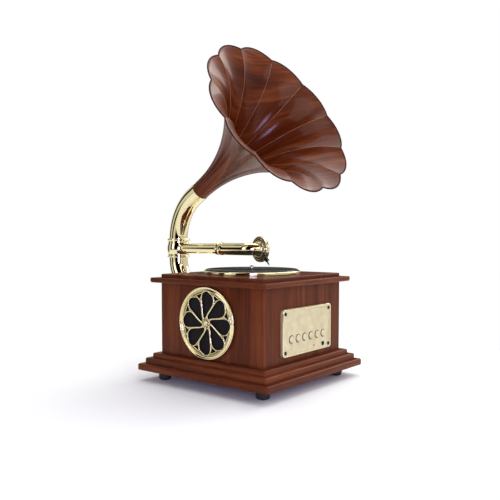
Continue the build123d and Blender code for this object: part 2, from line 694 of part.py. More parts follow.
# ================================================================ gooseneck: lower pipe, flange and driver
collar_low = Z_COLLAR - BARREL_H / 2 - COLLAR_GAP - LOWER_RING_T
collar_top = Z_COLLAR + BARREL_H / 2 + COLLAR_GAP
pipe_in = PIPE_R - PIPE_WALL
side_section = Plane(origin=(CAB_X, CAB_Y + collar_y, 0), x_dir=(0, -1, 0), z_dir=(-1, 0, 0))
with BuildPart() as lower_pipe:
    with BuildLine(side_section) as lower_path:
        drop = Line((0, collar_top), (0, pipe_z + LOWER_BEND_R))
        sweep_in = JernArc(drop @ 1, drop % 1, LOWER_BEND_R, 90)
        Line(sweep_in @ 1, (COLLAR_BEHIND + PANEL_T, pipe_z))
    with BuildSketch(Plane(origin=(CAB_X, CAB_Y + collar_y, collar_top), z_dir=(0, 0, -1))):
        Circle(PIPE_R)
        Circle(pipe_in, mode=Mode.SUBTRACT)
    sweep()
finish(lower_pipe, "gooseneck_lower_pipe")

with BuildPart() as flange:
    with BuildSketch(back_face):
        Circle(FLANGE_R)
        Circle(PIPE_R, mode=Mode.SUBTRACT)
        with PolarLocations(flange_screw_ring, FLANGE_SCREWS, start_angle=90):
            Circle(PLATE_SCREW_R, mode=Mode.SUBTRACT)
    extrude(amount=FLANGE_T)
    chamfer(flange.faces().sort_by(Axis.Y)[-1].edges().sort_by(SortBy.LENGTH)[-1], 0.8)
finish(flange, "gooseneck_flange")

finish(ring_of(back_face, 0, DRIVER_R, -PANEL_T - DRIVER_T, -PANEL_T), "horn_driver")


collar_section = Plane(origin=collar.origin, x_dir=(0, 0, 1), z_dir=(0, 1, 0))
collar_axis = Axis(collar.origin, (0, 0, 1))
half_barrel = BARREL_H / 2
ring_low = -half_barrel - COLLAR_GAP
pipe_low = half_barrel + COLLAR_GAP * 2
arm_plane = Plane(origin=collar.origin, x_dir=(1, 0, 0), z_dir=(0, -1, 0))
# name, bore, belly radius, radius at the ends, underside, top: turned rings with a rounded belly
collar_rings = (
    ("collar_lower_ring", PIPE_R, RING_R, RING_R - 1.0, ring_low - LOWER_RING_T, ring_low),
    ("collar_upper_ring", PIPE_R, RING_R, RING_R - 1.0, pipe_low, pipe_low + UPPER_RING_T),
    ("tonearm_barrel", PIPE_R + BARREL_FIT, RING_R, BARREL_WAIST_R, -half_barrel, half_barrel),
)
for name, bore, belly, end, low, high in collar_rings:
    lip = (high - low) * 0.09
    with BuildPart() as turned_ring:
        with BuildSketch(collar_section):
            with BuildLine():
                Polyline(
                    (low + lip, end), (low, end), (low, bore), (high, bore), (high, end), (high - lip, end)
                )
                ThreePointArc((low + lip, end), ((low + high) / 2, belly), (high - lip, end))
            make_face()
        revolve(axis=collar_axis)
        if name == "tonearm_barrel":
            with BuildSketch(arm_plane):
                Circle(ARM_R)
            extrude(amount=RING_R + 5, mode=Mode.SUBTRACT)
    finish(turned_ring, name)

# ================================================================ tonearm: tube and ring
arm_start = PIPE_R + 0.5
arm_in = ARM_R - ARM_WALL
finish(ring_of(arm_plane, arm_in, ARM_R, arm_start, ARM_LENGTH), "tonearm_tube")

with BuildPart() as arm_ring:
    with BuildSketch(arm_plane.offset(ARM_LENGTH - ARM_RING_L)):
        Circle(ARM_RING_R)
        Circle(ARM_R, mode=Mode.SUBTRACT)
    extrude(amount=ARM_RING_L)
    fillet(arm_ring.edges().sort_by(SortBy.LENGTH)[-2:], ARM_RING_L * 0.2)
finish(arm_ring, "tonearm_ring")

# ================================================================ elbow and sound box
elbow_start = ARM_LENGTH + COLLAR_GAP
elbow_turn = math.radians(ELBOW_TURN)
arm_path_plane = Plane(origin=collar.origin, x_dir=(0, -1, 0), z_dir=(0, 0, 1))
corner = elbow_start + ELBOW_STRAIGHT
elbow_end = (corner + ELBOW_BEND_R * math.sin(elbow_turn), ELBOW_BEND_R * (1 - math.cos(elbow_turn)))
with BuildPart() as elbow:
    with BuildLine(arm_path_plane) as elbow_path:
        run = Line((elbow_start, 0), (corner, 0))
        JernArc(run @ 1, run % 1, ELBOW_BEND_R, ELBOW_TURN)
    with BuildSketch(arm_plane.offset(elbow_start)):
        Circle(ELBOW_R)
        Circle(ELBOW_R - ARM_WALL, mode=Mode.SUBTRACT)
    sweep()
    with BuildSketch(arm_plane.offset(elbow_start - ELBOW_SPIGOT_L)):
        Circle(arm_in - ELBOW_FIT)
        Circle(arm_in - ELBOW_FIT - ARM_WALL, mode=Mode.SUBTRACT)
    extrude(amount=ELBOW_SPIGOT_L)
    with BuildSketch(arm_plane.offset(elbow_start)):
        Circle(ELBOW_R - ARM_WALL)
        Circle(arm_in - ELBOW_FIT - ARM_WALL, mode=Mode.SUBTRACT)
    extrude(amount=1.5)
finish(elbow, "elbow")

box_origin = arm_path_plane.from_local_coords((elbow_end[0], elbow_end[1], 0))
box_normal = Vector(math.sin(elbow_turn), -math.cos(elbow_turn), 0)
box_back = Plane(origin=box_origin, x_dir=(-math.cos(elbow_turn), -math.sin(elbow_turn), 0), z_dir=box_normal)
box_section, box_axis = turning(box_back)
with BuildPart() as sound_box:
    with BuildSketch(box_section):
        Polygon(
            (0, ELBOW_R - ARM_WALL), (0, ELBOW_R + 1.5), (0.8, ELBOW_R + 1.5), (0.8, BOX_R - BOX_RIM),
            (0, BOX_R - BOX_RIM), (0, BOX_R - 0.6), (0.6, BOX_R), (BOX_T - 0.6, BOX_R), (BOX_T, BOX_R - 0.6),
            (BOX_T, BOX_R - BOX_RIM), (BOX_T - 1.2, BOX_R - BOX_RIM), (BOX_T - 1.2, BOX_R - BOX_RIM - 0.8),
            (BOX_BACK_T, BOX_R - BOX_RIM - 0.8), (BOX_BACK_T, ELBOW_R - ARM_WALL), align=None,
        )
    revolve(axis=box_axis)
finish(sound_box, "sound_box_case")

diaphragm_low = BOX_T - 1.2
finish(
    ring_of(box_back, 0, BOX_R - BOX_RIM, diaphragm_low, diaphragm_low + DIAPHRAGM_T), "sound_box_diaphragm"
)

needle_dir = math.radians(NEEDLE_ANGLE)
needle_out = Vector(*(box_back.x_dir * math.cos(needle_dir) + box_back.y_dir * math.sin(needle_dir)))
holder_plane = Plane(origin=box_back.origin + needle_out * BOX_R + box_normal * (BOX_T / 2), z_dir=needle_out)
with BuildPart() as holder:
    with BuildSketch(holder_plane):
        Circle(HOLDER_R)
        Circle(NEEDLE_R, mode=Mode.SUBTRACT)
    extrude(amount=HOLDER_L)
finish(holder, "needle_holder")

with BuildPart() as needle:
    with BuildSketch(holder_plane.offset(0.2)):
        Circle(NEEDLE_R)
    extrude(amount=HOLDER_L + NEEDLE_L * 0.55)
    with BuildSketch(holder_plane.offset(HOLDER_L + NEEDLE_L * 0.55 + 0.2)):
        Circle(NEEDLE_R)
    with BuildSketch(holder_plane.offset(HOLDER_L + NEEDLE_L)):
        Circle(NEEDLE_R * 0.2)
    loft()
finish(needle, "needle")

arm_low = diaphragm_low + DIAPHRAGM_T
with BuildPart() as needle_arm:
    with BuildSketch(box_back.offset(BOX_T)):
        with Locations(Location((0, 0, 0), (0, 0, NEEDLE_ANGLE))):
            Rectangle(BOX_R + HOLDER_R, NEEDLE_ARM_W, align=(Align.MIN, Align.CENTER))
    extrude(amount=NEEDLE_ARM_T)
    with BuildSketch(box_back.offset(arm_low)):
        Circle(NEEDLE_ARM_W)
    extrude(amount=BOX_T - arm_low + NEEDLE_ARM_T)
finish(needle_arm, "needle_arm")

# ================================================================ gooseneck: upper pipe with its spigot
horn_plane = Plane(origin=collar.origin, x_dir=AHEAD, z_dir=AHEAD.cross(UP))
with BuildPart() as upper_pipe:
    with BuildLine(horn_plane) as upper_path:
        rise = Line((0, pipe_low), (0, UPPER_RISE))
        arch = JernArc(rise @ 1, rise % 1, UPPER_BEND_R, -bend_angle)
        Line(arch @ 1, (neck_ahead, neck_above))
    with BuildSketch(collar.offset(pipe_low)):
        Circle(PIPE_R)
        Circle(pipe_in, mode=Mode.SUBTRACT)
    sweep()
    with BuildSketch(collar.offset(pipe_low - SPIGOT_L)):
        Circle(pipe_in - SPIGOT_FIT)
        Circle(pipe_in - SPIGOT_FIT - SPIGOT_WALL, mode=Mode.SUBTRACT)
    extrude(amount=SPIGOT_L)
    with BuildSketch(collar.offset(pipe_low)):
        Circle(PIPE_R)
        Circle(pipe_in - SPIGOT_FIT - SPIGOT_WALL, mode=Mode.SUBTRACT)
    extrude(amount=UPPER_RISE - pipe_low)
finish(upper_pipe, "gooseneck_upper_pipe")

# ================================================================ the petalled horn
horn_neck = collar.origin + AHEAD * neck_ahead + UP * neck_above
with BuildPart() as horn:
    for wall, combine in ((0.0, Mode.ADD), (HORN_WALL, Mode.SUBTRACT)):
        for u in HORN_STATIONS:
            crest = crest_radius(u) - wall
            seam = crest_radius(u) - flute_depth(u) - wall
            where = Plane(
                origin=horn_neck + along(HORN_TILT) * (HORN_LENGTH * u),
                x_dir=ACROSS, z_dir=along(HORN_TILT + MOUTH_LEAN * u),
            )
            with BuildSketch(where):
                with BuildLine():
                    for k in range(HORN_PETALS):
                        a0 = HORN_PHASE + 360.0 / HORN_PETALS * k
                        a1 = a0 + 180.0 / HORN_PETALS
                        a2 = a0 + 360.0 / HORN_PETALS
                        ThreePointArc(
                            (seam * math.cos(math.radians(a0)), seam * math.sin(math.radians(a0))),
                            (crest * math.cos(math.radians(a1)), crest * math.sin(math.radians(a1))),
                            (seam * math.cos(math.radians(a2)), seam * math.sin(math.radians(a2))),
                        )
                make_face()
        loft(mode=combine)
    with BuildSketch(Plane(origin=horn_neck, x_dir=ACROSS, z_dir=along(HORN_TILT))):
        Circle(pipe_in)
        Circle(NECK_R - flute_depth(0) - HORN_WALL - 1, mode=Mode.SUBTRACT)
    extrude(amount=-HORN_SPIGOT_L)
finish(horn, "horn_bell")
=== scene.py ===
# %% [markdown]
# # Horn loudspeaker: the looks
# A gramophone-styled loudspeaker has five kinds of surface: a cabinet wrapped in mahogany veneer film, a
# petalled horn in the same film, polished brass pipework, a pressed disc on a brass platter, and a
# swirling cast grille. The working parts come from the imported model; here each gets its finish, and the
# pieces whose beauty is in their fine relief are made again as surfaces worked out with numpy.

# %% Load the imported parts
import math

import bmesh
import bpy
import numpy as np
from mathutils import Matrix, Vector


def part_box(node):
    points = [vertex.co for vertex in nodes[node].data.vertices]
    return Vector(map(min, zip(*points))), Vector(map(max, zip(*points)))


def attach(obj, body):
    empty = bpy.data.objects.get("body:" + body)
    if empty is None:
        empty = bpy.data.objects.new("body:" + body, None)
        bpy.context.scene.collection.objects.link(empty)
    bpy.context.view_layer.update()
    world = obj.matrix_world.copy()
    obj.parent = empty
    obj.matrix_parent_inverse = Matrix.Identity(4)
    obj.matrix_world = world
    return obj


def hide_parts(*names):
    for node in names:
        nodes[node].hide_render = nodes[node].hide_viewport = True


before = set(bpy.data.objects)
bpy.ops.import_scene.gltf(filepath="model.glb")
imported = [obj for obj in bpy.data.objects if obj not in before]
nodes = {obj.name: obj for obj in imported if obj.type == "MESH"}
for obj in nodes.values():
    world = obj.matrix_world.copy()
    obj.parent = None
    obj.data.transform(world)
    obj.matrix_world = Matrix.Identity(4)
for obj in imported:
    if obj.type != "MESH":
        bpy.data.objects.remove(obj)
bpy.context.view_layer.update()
MM = 0.001
print("packed nodes:", len(nodes))


def middle(node):
    """Middle of a node's box, in metres."""
    low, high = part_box(node)
    return (np.array(low) + np.array(high)) / 2


def span(node):
    """Width, depth and height of a node's box, in metres."""
    low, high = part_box(node)
    return np.array(high) - np.array(low)


# %% [markdown]
# The camera stands a little above the turntable, off the cabinet's left front corner, and is almost level,
# so both faces of the cabinet show and the horn is seen from below its mouth. A lens near 45 mm keeps
# the cabinet's edges calm. The small shift raises the picture without tilting the uprights.

# %% Camera
cabinet_x, cabinet_y, _ = middle("top_board")
table_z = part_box("top_board")[1].z
camera_data = bpy.data.cameras.new("camera")
camera = bpy.data.objects.new("camera", camera_data)
bpy.context.scene.collection.objects.link(camera)
camera.location = (cabinet_x - 0.6266, cabinet_y - 0.5000, table_z + 0.0462)
camera.rotation_euler = (math.radians(90 - 3.288), 0, math.radians(-51.412))
camera_data.lens = 44.553
camera_data.sensor_width = 36
camera_data.shift_x, camera_data.shift_y = -0.0036, 0.0463
camera_data.clip_start, camera_data.clip_end = 0.01, 50
bpy.context.scene.camera = camera
print("camera at", [round(c, 3) for c in camera.location])


# %% [markdown]
# A studio for polished brass is mostly a matter of what the brass can see: large white panels give the
# cream highlights and a few dark panels give the black stripes that make metal look like metal. The
# floor is pale and plain.

# %% A small function for meshes
def mesh_piece(name, points, faces, smooth=True, uv=None):
    """A mesh object from an array of points (n, 3) and an array or a list of the faces' corner numbers."""
    mesh = bpy.data.meshes.new(name)
    faces = faces.tolist() if hasattr(faces, "tolist") else faces
    mesh.from_pydata(np.asarray(points, float).tolist(), [], faces)
    mesh.polygons.foreach_set("use_smooth", np.full(len(mesh.polygons), smooth))
    if uv is not None:
        layer = mesh.uv_layers.new(name="surface")
        corner = np.zeros(len(mesh.loops), int)
        mesh.loops.foreach_get("vertex_index", corner)
        layer.data.foreach_set("uv", np.asarray(uv, float)[corner].ravel())
    mesh.update()
    piece = bpy.data.objects.new(name, mesh)
    bpy.context.scene.collection.objects.link(piece)
    return piece


def grid_faces(rows, columns, close_rows=False, close_columns=False):
    """Corner numbers of the quads of a rows x columns grid of points, wrapped round where closed."""
    r = np.arange(rows if close_rows else rows - 1)[:, None]
    c = np.arange(columns if close_columns else columns - 1)[None, :]
    r2, c2 = (r + 1) % rows, (c + 1) % columns
    quads = np.stack([r * columns + c, r * columns + c2, r2 * columns + c2, r2 * columns + c], -1)
    return quads.reshape(-1, 4)


# %% Floor and lights
floor_corners = np.array([[-1, -1, 0], [1, -1, 0], [1, 1, 0], [-1, 1, 0]]) * 0.8 - [0, 0, 0.0002]
floor = mesh_piece("studio_floor", floor_corners, [[0, 1, 2, 3]], smooth=False)


def panel_light(name, place, aim, width, height, power, tint=(1, 1, 1)):
    """A soft rectangular light that stands at a place and points at an aim."""
    data = bpy.data.lights.new(name, "AREA")
    data.shape, data.size, data.size_y = "RECTANGLE", width, height
    data.energy, data.color = power, tint
    lamp = bpy.data.objects.new(name, data)
    bpy.context.scene.collection.objects.link(lamp)
    lamp.location = place
    direction = Vector(aim) - Vector(place)
    lamp.rotation_euler = direction.to_track_quat("-Z", "Y").to_euler()
    return lamp


aim = (cabinet_x, cabinet_y, 0.2)
panel_light("key_panel", (-0.45, -1.5, 1.3), aim, 1.6, 1.3, 12)
panel_light("side_panel", (-1.5, 0.5, 0.6), aim, 0.5, 0.9, 2.5)
panel_light("top_panel", (0.6, 0.1, 1.6), aim, 1.8, 1.8, 19)
panel_light("right_panel_light", (1.5, -0.15, 0.95), aim, 0.6, 0.8, 6)
panel_light("violet_flash", (-0.72, -0.68, 0.2), (0.03, -0.03, 0.32), 0.26, 0.26, 4.0, (0.55, 0.5, 1.0))


# %% A small function for shader nodes
def linear(code):
    """Linear red, green, blue, alpha from an sRGB hex code such as "8A4B32"."""
    srgb = np.array([int(code[i:i + 2], 16) / 255 for i in (0, 2, 4)])
    return (*np.where(srgb <= 0.04045, srgb / 12.92, ((srgb + 0.055) / 1.055) ** 2.4), 1.0)


def add(tree, kind, links=None, **settings):
    """Add one shader node. Settings are its properties, or inputs where the name is an input's with
    spaces as underscores; links maps an input's name or number to another node's output."""
    node = tree.nodes.new("ShaderNode" + kind)
    for key, value in settings.items():
        if hasattr(node, key):
            setattr(node, key, value)
        else:
            node.inputs[key.replace("_", " ")].default_value = value
    for key, output in (links or {}).items():
        tree.links.new(output, node.inputs[key])
    return node


def ramp(tree, factor, *stops):
    """A colour ramp fed by a factor; each stop is a position and a hex colour."""
    node = add(tree, "ValToRGB", {"Fac": factor})
    elements = node.color_ramp.elements
    while len(elements) < len(stops):
        elements.new(0.5)
    for element, (position, code) in zip(elements, stops):
        element.position, element.color = position, linear(code)
    return node.outputs["Color"]


def material(name, **surface):
    """A material with one shader; the settings given stand on the shader's own sockets."""
    made = bpy.data.materials.new(name)
    made.use_nodes = True
    shader = made.node_tree.nodes["Principled BSDF"]
    for key, value in surface.items():
        shader.inputs[key.replace("_", " ")].default_value = value
    return made, made.node_tree, shader


def join(tree, output, shader, socket):
    """Link an output to a named socket of the shader."""
    tree.links.new(output, shader.inputs[socket])


# %% Studio background and floor paint
world = bpy.data.worlds.new("studio")
bpy.context.scene.world = world
world.use_nodes = True
tree = world.node_tree
sky = tree.nodes["Background"]
way = add(tree, "TexCoord").outputs["Generated"]
parts = add(tree, "SeparateXYZ", {"Vector": way})
compass = add(tree, "Math", {0: parts.outputs["Y"], 1: parts.outputs["X"]}, operation="ARCTAN2")
around_room = add(
    tree, "MapRange", {"Value": compass.outputs["Value"]}, From_Min=-math.pi, From_Max=math.pi
).outputs["Result"]


def dark_card(direction, half_width):
    """One on a black card that stands at a direction in degrees anticlockwise from +X, else nought."""
    place = (direction % 360 + 180) % 360 / 360
    off = add(tree, "Math", {0: around_room}, operation="SUBTRACT")
    off.inputs[1].default_value = place
    off = add(tree, "Math", {0: off.outputs["Value"]}, operation="ABSOLUTE").outputs["Value"]
    edge = add(tree, "MapRange", {"Value": off}, To_Min=1.0, To_Max=0.0)
    edge.inputs["From Min"].default_value = (half_width - 3) / 360
    edge.inputs["From Max"].default_value = (half_width + 3) / 360
    return edge.outputs["Result"]


# directions and half widths in degrees: the widest card stands behind the camera
cards = [dark_card(*card) for card in ((143, 9), (212, 36), (100, 12), (35, 10))]
shade = cards[0]
for card in cards[1:]:
    shade = add(tree, "Math", {0: shade, 1: card}, operation="MAXIMUM").outputs["Value"]
room = ramp(tree, shade, (0.0, "DCDCDA"), (1.0, "060505"))
seen = add(tree, "LightPath").outputs["Is Camera Ray"]
glow = add(tree, "Mix", {"Factor": seen}, data_type="RGBA")
tree.links.new(room, glow.inputs[6])
glow.inputs[7].default_value = (1, 1, 1, 1)
tree.links.new(glow.outputs[2], sky.inputs["Color"])
bpy.context.scene.view_settings.view_transform = "Standard"

# the floor is matt white paint, and away from the object it glows to the background's own white
paint, tree, shader = material("matt_studio_floor_paint", Roughness=0.9, Base_Color=linear("FFFFFF"))
place = add(tree, "TexCoord").outputs["Object"]
reach = add(tree, "VectorMath", {0: place}, operation="LENGTH").outputs["Value"]
fade = add(tree, "MapRange", {"Value": reach}, From_Min=0.2, From_Max=0.5, interpolation_type="SMOOTHSTEP")
glow = add(tree, "Emission", Strength=1.0)
both = add(tree, "MixShader", {0: fade.outputs["Result"], 1: shader.outputs[0], 2: glow.outputs[0]})
tree.links.new(both.outputs[0], tree.nodes["Material Output"].inputs["Surface"])
floor.data.materials.append(paint)

# %% [markdown]
# The cabinet is fibre board wrapped in a printed mahogany film under a satin lacquer. Mahogany has narrow
# dark pore lines, some 10 to 60 mm long, over broad soft stripes. Both come from noise that is stretched
# along the grain: about 1 mm across for the pores and 14 mm for the stripes. Finer pores would vanish, so
# they are drawn as coarse as they need to show. A thin coat gives the lacquer's clear reflection.

# %% Mahogany film
def mahogany(name, grain, dark, mid, light, coat=0.12, pore=1.1 * MM, stripe=14 * MM):
    """Printed mahogany film; grain holds the share of each axis along which the pattern is short."""
    made, tree, shader = material(
        name, Roughness=0.42, Specular_IOR_Level=0.12, Coat_Weight=coat, Coat_Roughness=0.16, IOR=1.5,
        Specular_Tint=linear("E8B48A"), Coat_Tint=linear("F0C8A0")
    )
    place = add(tree, "TexCoord").outputs["Object"]
    pores = add(tree, "Mapping", {"Vector": place}, Scale=[g / pore for g in grain]).outputs["Vector"]
    bands = add(tree, "Mapping", {"Vector": place}, Scale=[g / stripe for g in grain]).outputs["Vector"]
    fine = add(tree, "TexNoise", {"Vector": pores}, Scale=1.0, Detail=5.0, Roughness=0.62, Distortion=0.25)
    broad = add(tree, "TexNoise", {"Vector": bands}, Scale=1.0, Detail=4.0, Roughness=0.55, Distortion=0.9)
    share = add(
        tree, "Mix", {"A": broad.outputs["Fac"], "B": fine.outputs["Fac"]}, data_type="FLOAT", Factor=0.42
    ).outputs["Result"]
    tree.links.new(ramp(tree, share, (0.33, dark), (0.5, mid), (0.68, light)), shader.inputs["Base Color"])
    worn = add(tree, "MapRange", {"Value": fine.outputs["Fac"]}, To_Min=0.36, To_Max=0.52)
    join(tree, worn.outputs["Result"], shader, "Roughness")
    relief = add(tree, "Bump", {"Height": fine.outputs["Fac"]}, Strength=0.12, Distance=0.0003)
    join(tree, relief.outputs["Normal"], shader, "Normal")
    return made


def dress(finish, *names):
    """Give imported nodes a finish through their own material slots."""
    for name in names:
        mesh = nodes[name].data
        mesh.materials.clear()
        mesh.materials.append(finish)


upright_grain = mahogany("mahogany_film_upright", (1, 1, 0.03), "3A1608", "5C2A15", "783E21")
level_grain = mahogany("mahogany_film_mouldings", (0.035, 0.035, 1), "401A0D", "653019", "834828")
top_grain = mahogany("mahogany_film_top", (0.03, 1, 1), "421A0B", "633018", "7C4224")
dress(upright_grain, "front_panel", "right_panel", "left_panel", "back_panel")
dress(level_grain, "top_moulding_board", "plinth_upper_board", "plinth_middle_board", "plinth_lower_board")
dress(top_grain, "top_board")
print("veneered:", sum(len(m.name) > 0 and m.users for m in (upright_grain, level_grain, top_grain)))

# %% [markdown]
# The pipes, rings and grille are polished brass plate over steel: a warm pale yellow with a mirror
# finish. Real plate is never a perfect mirror: buffing leaves a faint unevenness some 8 mm across and
# fine haze. Both are small changes of roughness and a very shallow bump.

# %% Polished and brushed brass
def brass(name, tone, low, high, patch=8 * MM, depth=0.02, metal=1.0):
    """Buffed brass; roughness wanders between low and high over patches of the given size."""
    made, tree, shader = material(name, Metallic=metal, Base_Color=linear(tone))
    place = add(tree, "TexCoord").outputs["Object"]
    haze = add(tree, "TexNoise", {"Vector": place}, Scale=1 / patch, Detail=2.0, Roughness=0.5)
    spread = add(tree, "MapRange", {"Value": haze.outputs["Fac"]}, To_Min=low, To_Max=high)
    join(tree, spread.outputs["Result"], shader, "Roughness")
    relief = add(tree, "Bump", {"Height": haze.outputs["Fac"]}, Strength=depth, Distance=0.0004)
    join(tree, relief.outputs["Normal"], shader, "Normal")
    return made, tree, shader


polished_brass, _, _ = brass("polished_brass_plate", "EFE2B4", 0.03, 0.09)
# the rosette's flat casting is a darker, duller brass: partly aged cast brass, partly painted shade and dark
# reflection between the bright wires
cast_brass_and_painted_shade, _, _ = brass("dull_cast_brass_with_painted_shade", "8F7D4E", 0.25, 0.45, patch=2 * MM, depth=0.3)
dress(
    polished_brass, "platter", "platter_bush", "gooseneck_lower_pipe", "gooseneck_upper_pipe",
    "gooseneck_flange", "collar_lower_ring", "collar_upper_ring", "tonearm_barrel", "tonearm_tube",
    "tonearm_ring", "elbow", "sound_box_case", "needle_holder", "needle_arm", "grille_ring", "grille_rosette",
)

brushed_brass, tree, shader = material("brushed_brass_plate", Metallic=0.6, Base_Color=linear("D9CB9F"))
place = add(tree, "TexCoord").outputs["Object"]
# the brush runs up and down the plate, and leaves scratches about 0.5 mm apart as drawn here
brush = add(tree, "Mapping", {"Vector": place}, Scale=(1 / (0.5 * MM), 40, 1 / (22 * MM))).outputs["Vector"]
lines = add(tree, "TexNoise", {"Vector": brush}, Scale=1.0, Detail=4.0, Roughness=0.6).outputs["Fac"]
cloud = add(tree, "TexNoise", {"Vector": place}, Scale=1 / (9 * MM), Detail=4.0).outputs["Fac"]
both = add(tree, "Mix", {"A": lines, "B": cloud}, data_type="FLOAT", Factor=0.5).outputs["Result"]
tree.links.new(
    ramp(tree, both, (0.3, "CDBF95"), (0.5, "DCD0AA"), (0.7, "EAE0C2")), shader.inputs["Base Color"]
)
rough = add(tree, "MapRange", {"Value": lines}, To_Min=0.38, To_Max=0.56).outputs["Result"]
join(tree, rough, shader, "Roughness")
relief = add(tree, "Bump", {"Height": lines}, Strength=0.1, Distance=0.0001)
join(tree, relief.outputs["Normal"], shader, "Normal")
dress(brushed_brass, "control_plate", *(f"button_{k}" for k in range(1, 7)))

# %% [markdown]
# The small parts are what such a loudspeaker is really made of: moulded rubber feet, zinc steel screws,
# black oxide screws, ABS, ferrite, paper pulp and a solder mask. One function makes them all, because
# each is one colour broken by a grain of its own size: moulding texture, pulp fibres or casting skin.

# %% Small parts
def grained(name, tone, other, size, low, high, depth=0.2, **surface):
    """A surface whose colour wanders between two tones and whose skin has a grain of the given size."""
    made, tree, shader = material(name, **surface)
    place = add(tree, "TexCoord").outputs["Object"]
    grain = add(tree, "TexNoise", {"Vector": place}, Scale=1 / size, Detail=6.0, Roughness=0.6).outputs["Fac"]
    tree.links.new(ramp(tree, grain, (0.3, tone), (0.7, other)), shader.inputs["Base Color"])
    rough = add(tree, "MapRange", {"Value": grain}, To_Min=low, To_Max=high).outputs["Result"]
    join(tree, rough, shader, "Roughness")
    relief = add(tree, "Bump", {"Height": grain}, Strength=depth, Distance=0.0002)
    join(tree, relief.outputs["Normal"], shader, "Normal")
    return made


rubber = grained("moulded_black_rubber", "141312", "24211F", 1.2 * MM, 0.55, 0.75)
zinc = grained("zinc_plated_steel", "8E9092", "B4B5B5", 1.5 * MM, 0.25, 0.45, Metallic=1.0)
black_oxide = grained("black_oxide_steel", "0A0806", "19140F", 0.8 * MM, 0.3, 0.5, Metallic=0.6)
abs_black = grained("moulded_black_abs", "0E0E0F", "1A1A1B", 0.9 * MM, 0.35, 0.55)
# a near-black finish for the dark bands of the sound box
near_black_band_finish = grained("near_black_band", "070605", "0E0C0A", 1.0 * MM, 0.12, 0.2, depth=0.05)
ferrite = grained("sintered_ferrite", "2A2A2C", "3B3B3C", 1.0 * MM, 0.6, 0.8)
pulp = grained("pressed_paper_pulp", "1B1B1D", "2E2D2D", 0.7 * MM, 0.75, 0.95, depth=0.5)
solder_mask = grained("green_solder_mask", "0E3A20", "17532F", 3.0 * MM, 0.25, 0.4)
painted_board = grained("black_painted_hardboard", "171412", "26211D", 2.0 * MM, 0.5, 0.7)
turned_steel = grained("turned_bright_steel", "B9B7B0", "DAD8D0", 0.9 * MM, 0.12, 0.28, Metallic=1.0)
dress(rubber, "rubber_feet", "speaker_surround")
dress(zinc, "foot_screws", "wood_screws", "platter_motor")
dress(black_oxide, "brass_screws")
dress(abs_black, "audio_jack", "power_inlet", "button_switches", "horn_driver", "speaker_basket")
dress(ferrite, "speaker_magnet")
dress(pulp, "speaker_cone", "speaker_dust_cap")
dress(solder_mask, "control_board")
dress(painted_board, "bottom_cover")
dress(turned_steel, "platter_spindle", "needle", "sound_box_diaphragm")

lens, tree, shader = material(
    "amber_moulded_acrylic", Base_Color=linear("B99A4A"), Transmission_Weight=0.5, IOR=1.49, Roughness=0.12
)
place = add(tree, "TexCoord").outputs["Object"]
ribs = add(tree, "TexVoronoi", {"Vector": place}, Scale=1 / (0.6 * MM)).outputs["Distance"]
relief = add(tree, "Bump", {"Height": ribs}, Strength=0.3, Distance=0.0002)
join(tree, relief.outputs["Normal"], shader, "Normal")
dress(lens, "status_lamp")
print("finishes so far:", len(bpy.data.materials))

# %% [markdown]
# The horn is twelve petals round one axis. Its radius grows gently, then sharply at the lip; between two
# seams each petal is an arc that bulges outwards. A real one is moulded in one shell about 2.4 mm thick.
# A lathe can't make petals and sculpting would be uneven, so the shell is one function of the way along
# the axis and the way round, once for the outside and once for the inside, joined at the rim and neck.

# %% Horn: sizes and directions, in metres
collar = middle("collar_lower_ring") * [1, 1, 0] + [0, 0, middle("tonearm_barrel")[2]]
turn, tilt, lean = math.radians(6.6), math.radians(28.2), math.radians(2.1)
ahead = np.array([-math.sin(turn), -math.cos(turn), 0])
across = np.array([math.cos(turn), -math.sin(turn), 0])
up = np.array([0, 0, 1.0])
bend = math.pi / 2 - tilt
neck = collar + ahead * (70 * (1 - math.cos(bend)) + 14.5 * math.cos(tilt)) * MM
neck = neck + up * (10.8 + 70 * math.sin(bend) + 14.5 * math.sin(tilt)) * MM
petals, first_seam, wall = 12, math.radians(10.2), 2.4 * MM
print("horn neck at", np.round(neck, 4))


def horn_section(u, share, inset):
    """Points of the horn. Crest radius is 12.7 mm, plus 77.1 mm times u to the power 2.28, plus 17.3 mm
    times u to the power 17.3; the seams lie 3.5 percent of it further in at the neck and 5.7 percent at
    the mouth. A petal is the circle arc through its two seams and its crest; share runs from 0 to 12."""
    crest = (12.7 + 77.1 * u ** 2.28 + 17.3 * u ** 17.3) * MM
    seam = crest * (1 - 0.035 - 0.022 * u ** 4) - inset
    crest = crest - inset
    half = math.pi / petals
    seam_x, seam_y = seam * math.cos(half), seam * math.sin(half)
    centre = (crest ** 2 - seam ** 2) / (2 * (crest - seam_x))
    radius = crest - centre
    open_angle = np.arctan2(seam_y, seam_x - centre)
    petal = np.floor(np.minimum(share, petals - 1e-9))
    part = (share - petal) * 2 - 1
    x = centre + radius * np.cos(open_angle * part)
    y = radius * np.sin(open_angle * part)
    mid = first_seam + (petal + 0.5) * 2 * half
    return x * np.cos(mid) - y * np.sin(mid), x * np.sin(mid) + y * np.cos(mid)


def horn_points(u, share, inset, slide=0.0):
    """Places a section across the horn's axis, its plane leaning 2.1 degrees further by the mouth."""
    x, y = horn_section(u, share, inset)
    angle = (tilt + lean * u)[..., None]
    normal = ahead * np.cos(angle) + up * np.sin(angle)
    side = np.cross(normal, across)
    axis = ahead * math.cos(tilt) + up * math.sin(tilt)
    centre = neck + axis * (168.2 * MM * u)[..., None]
    return centre + across * x[..., None] + side * y[..., None] + normal * slide


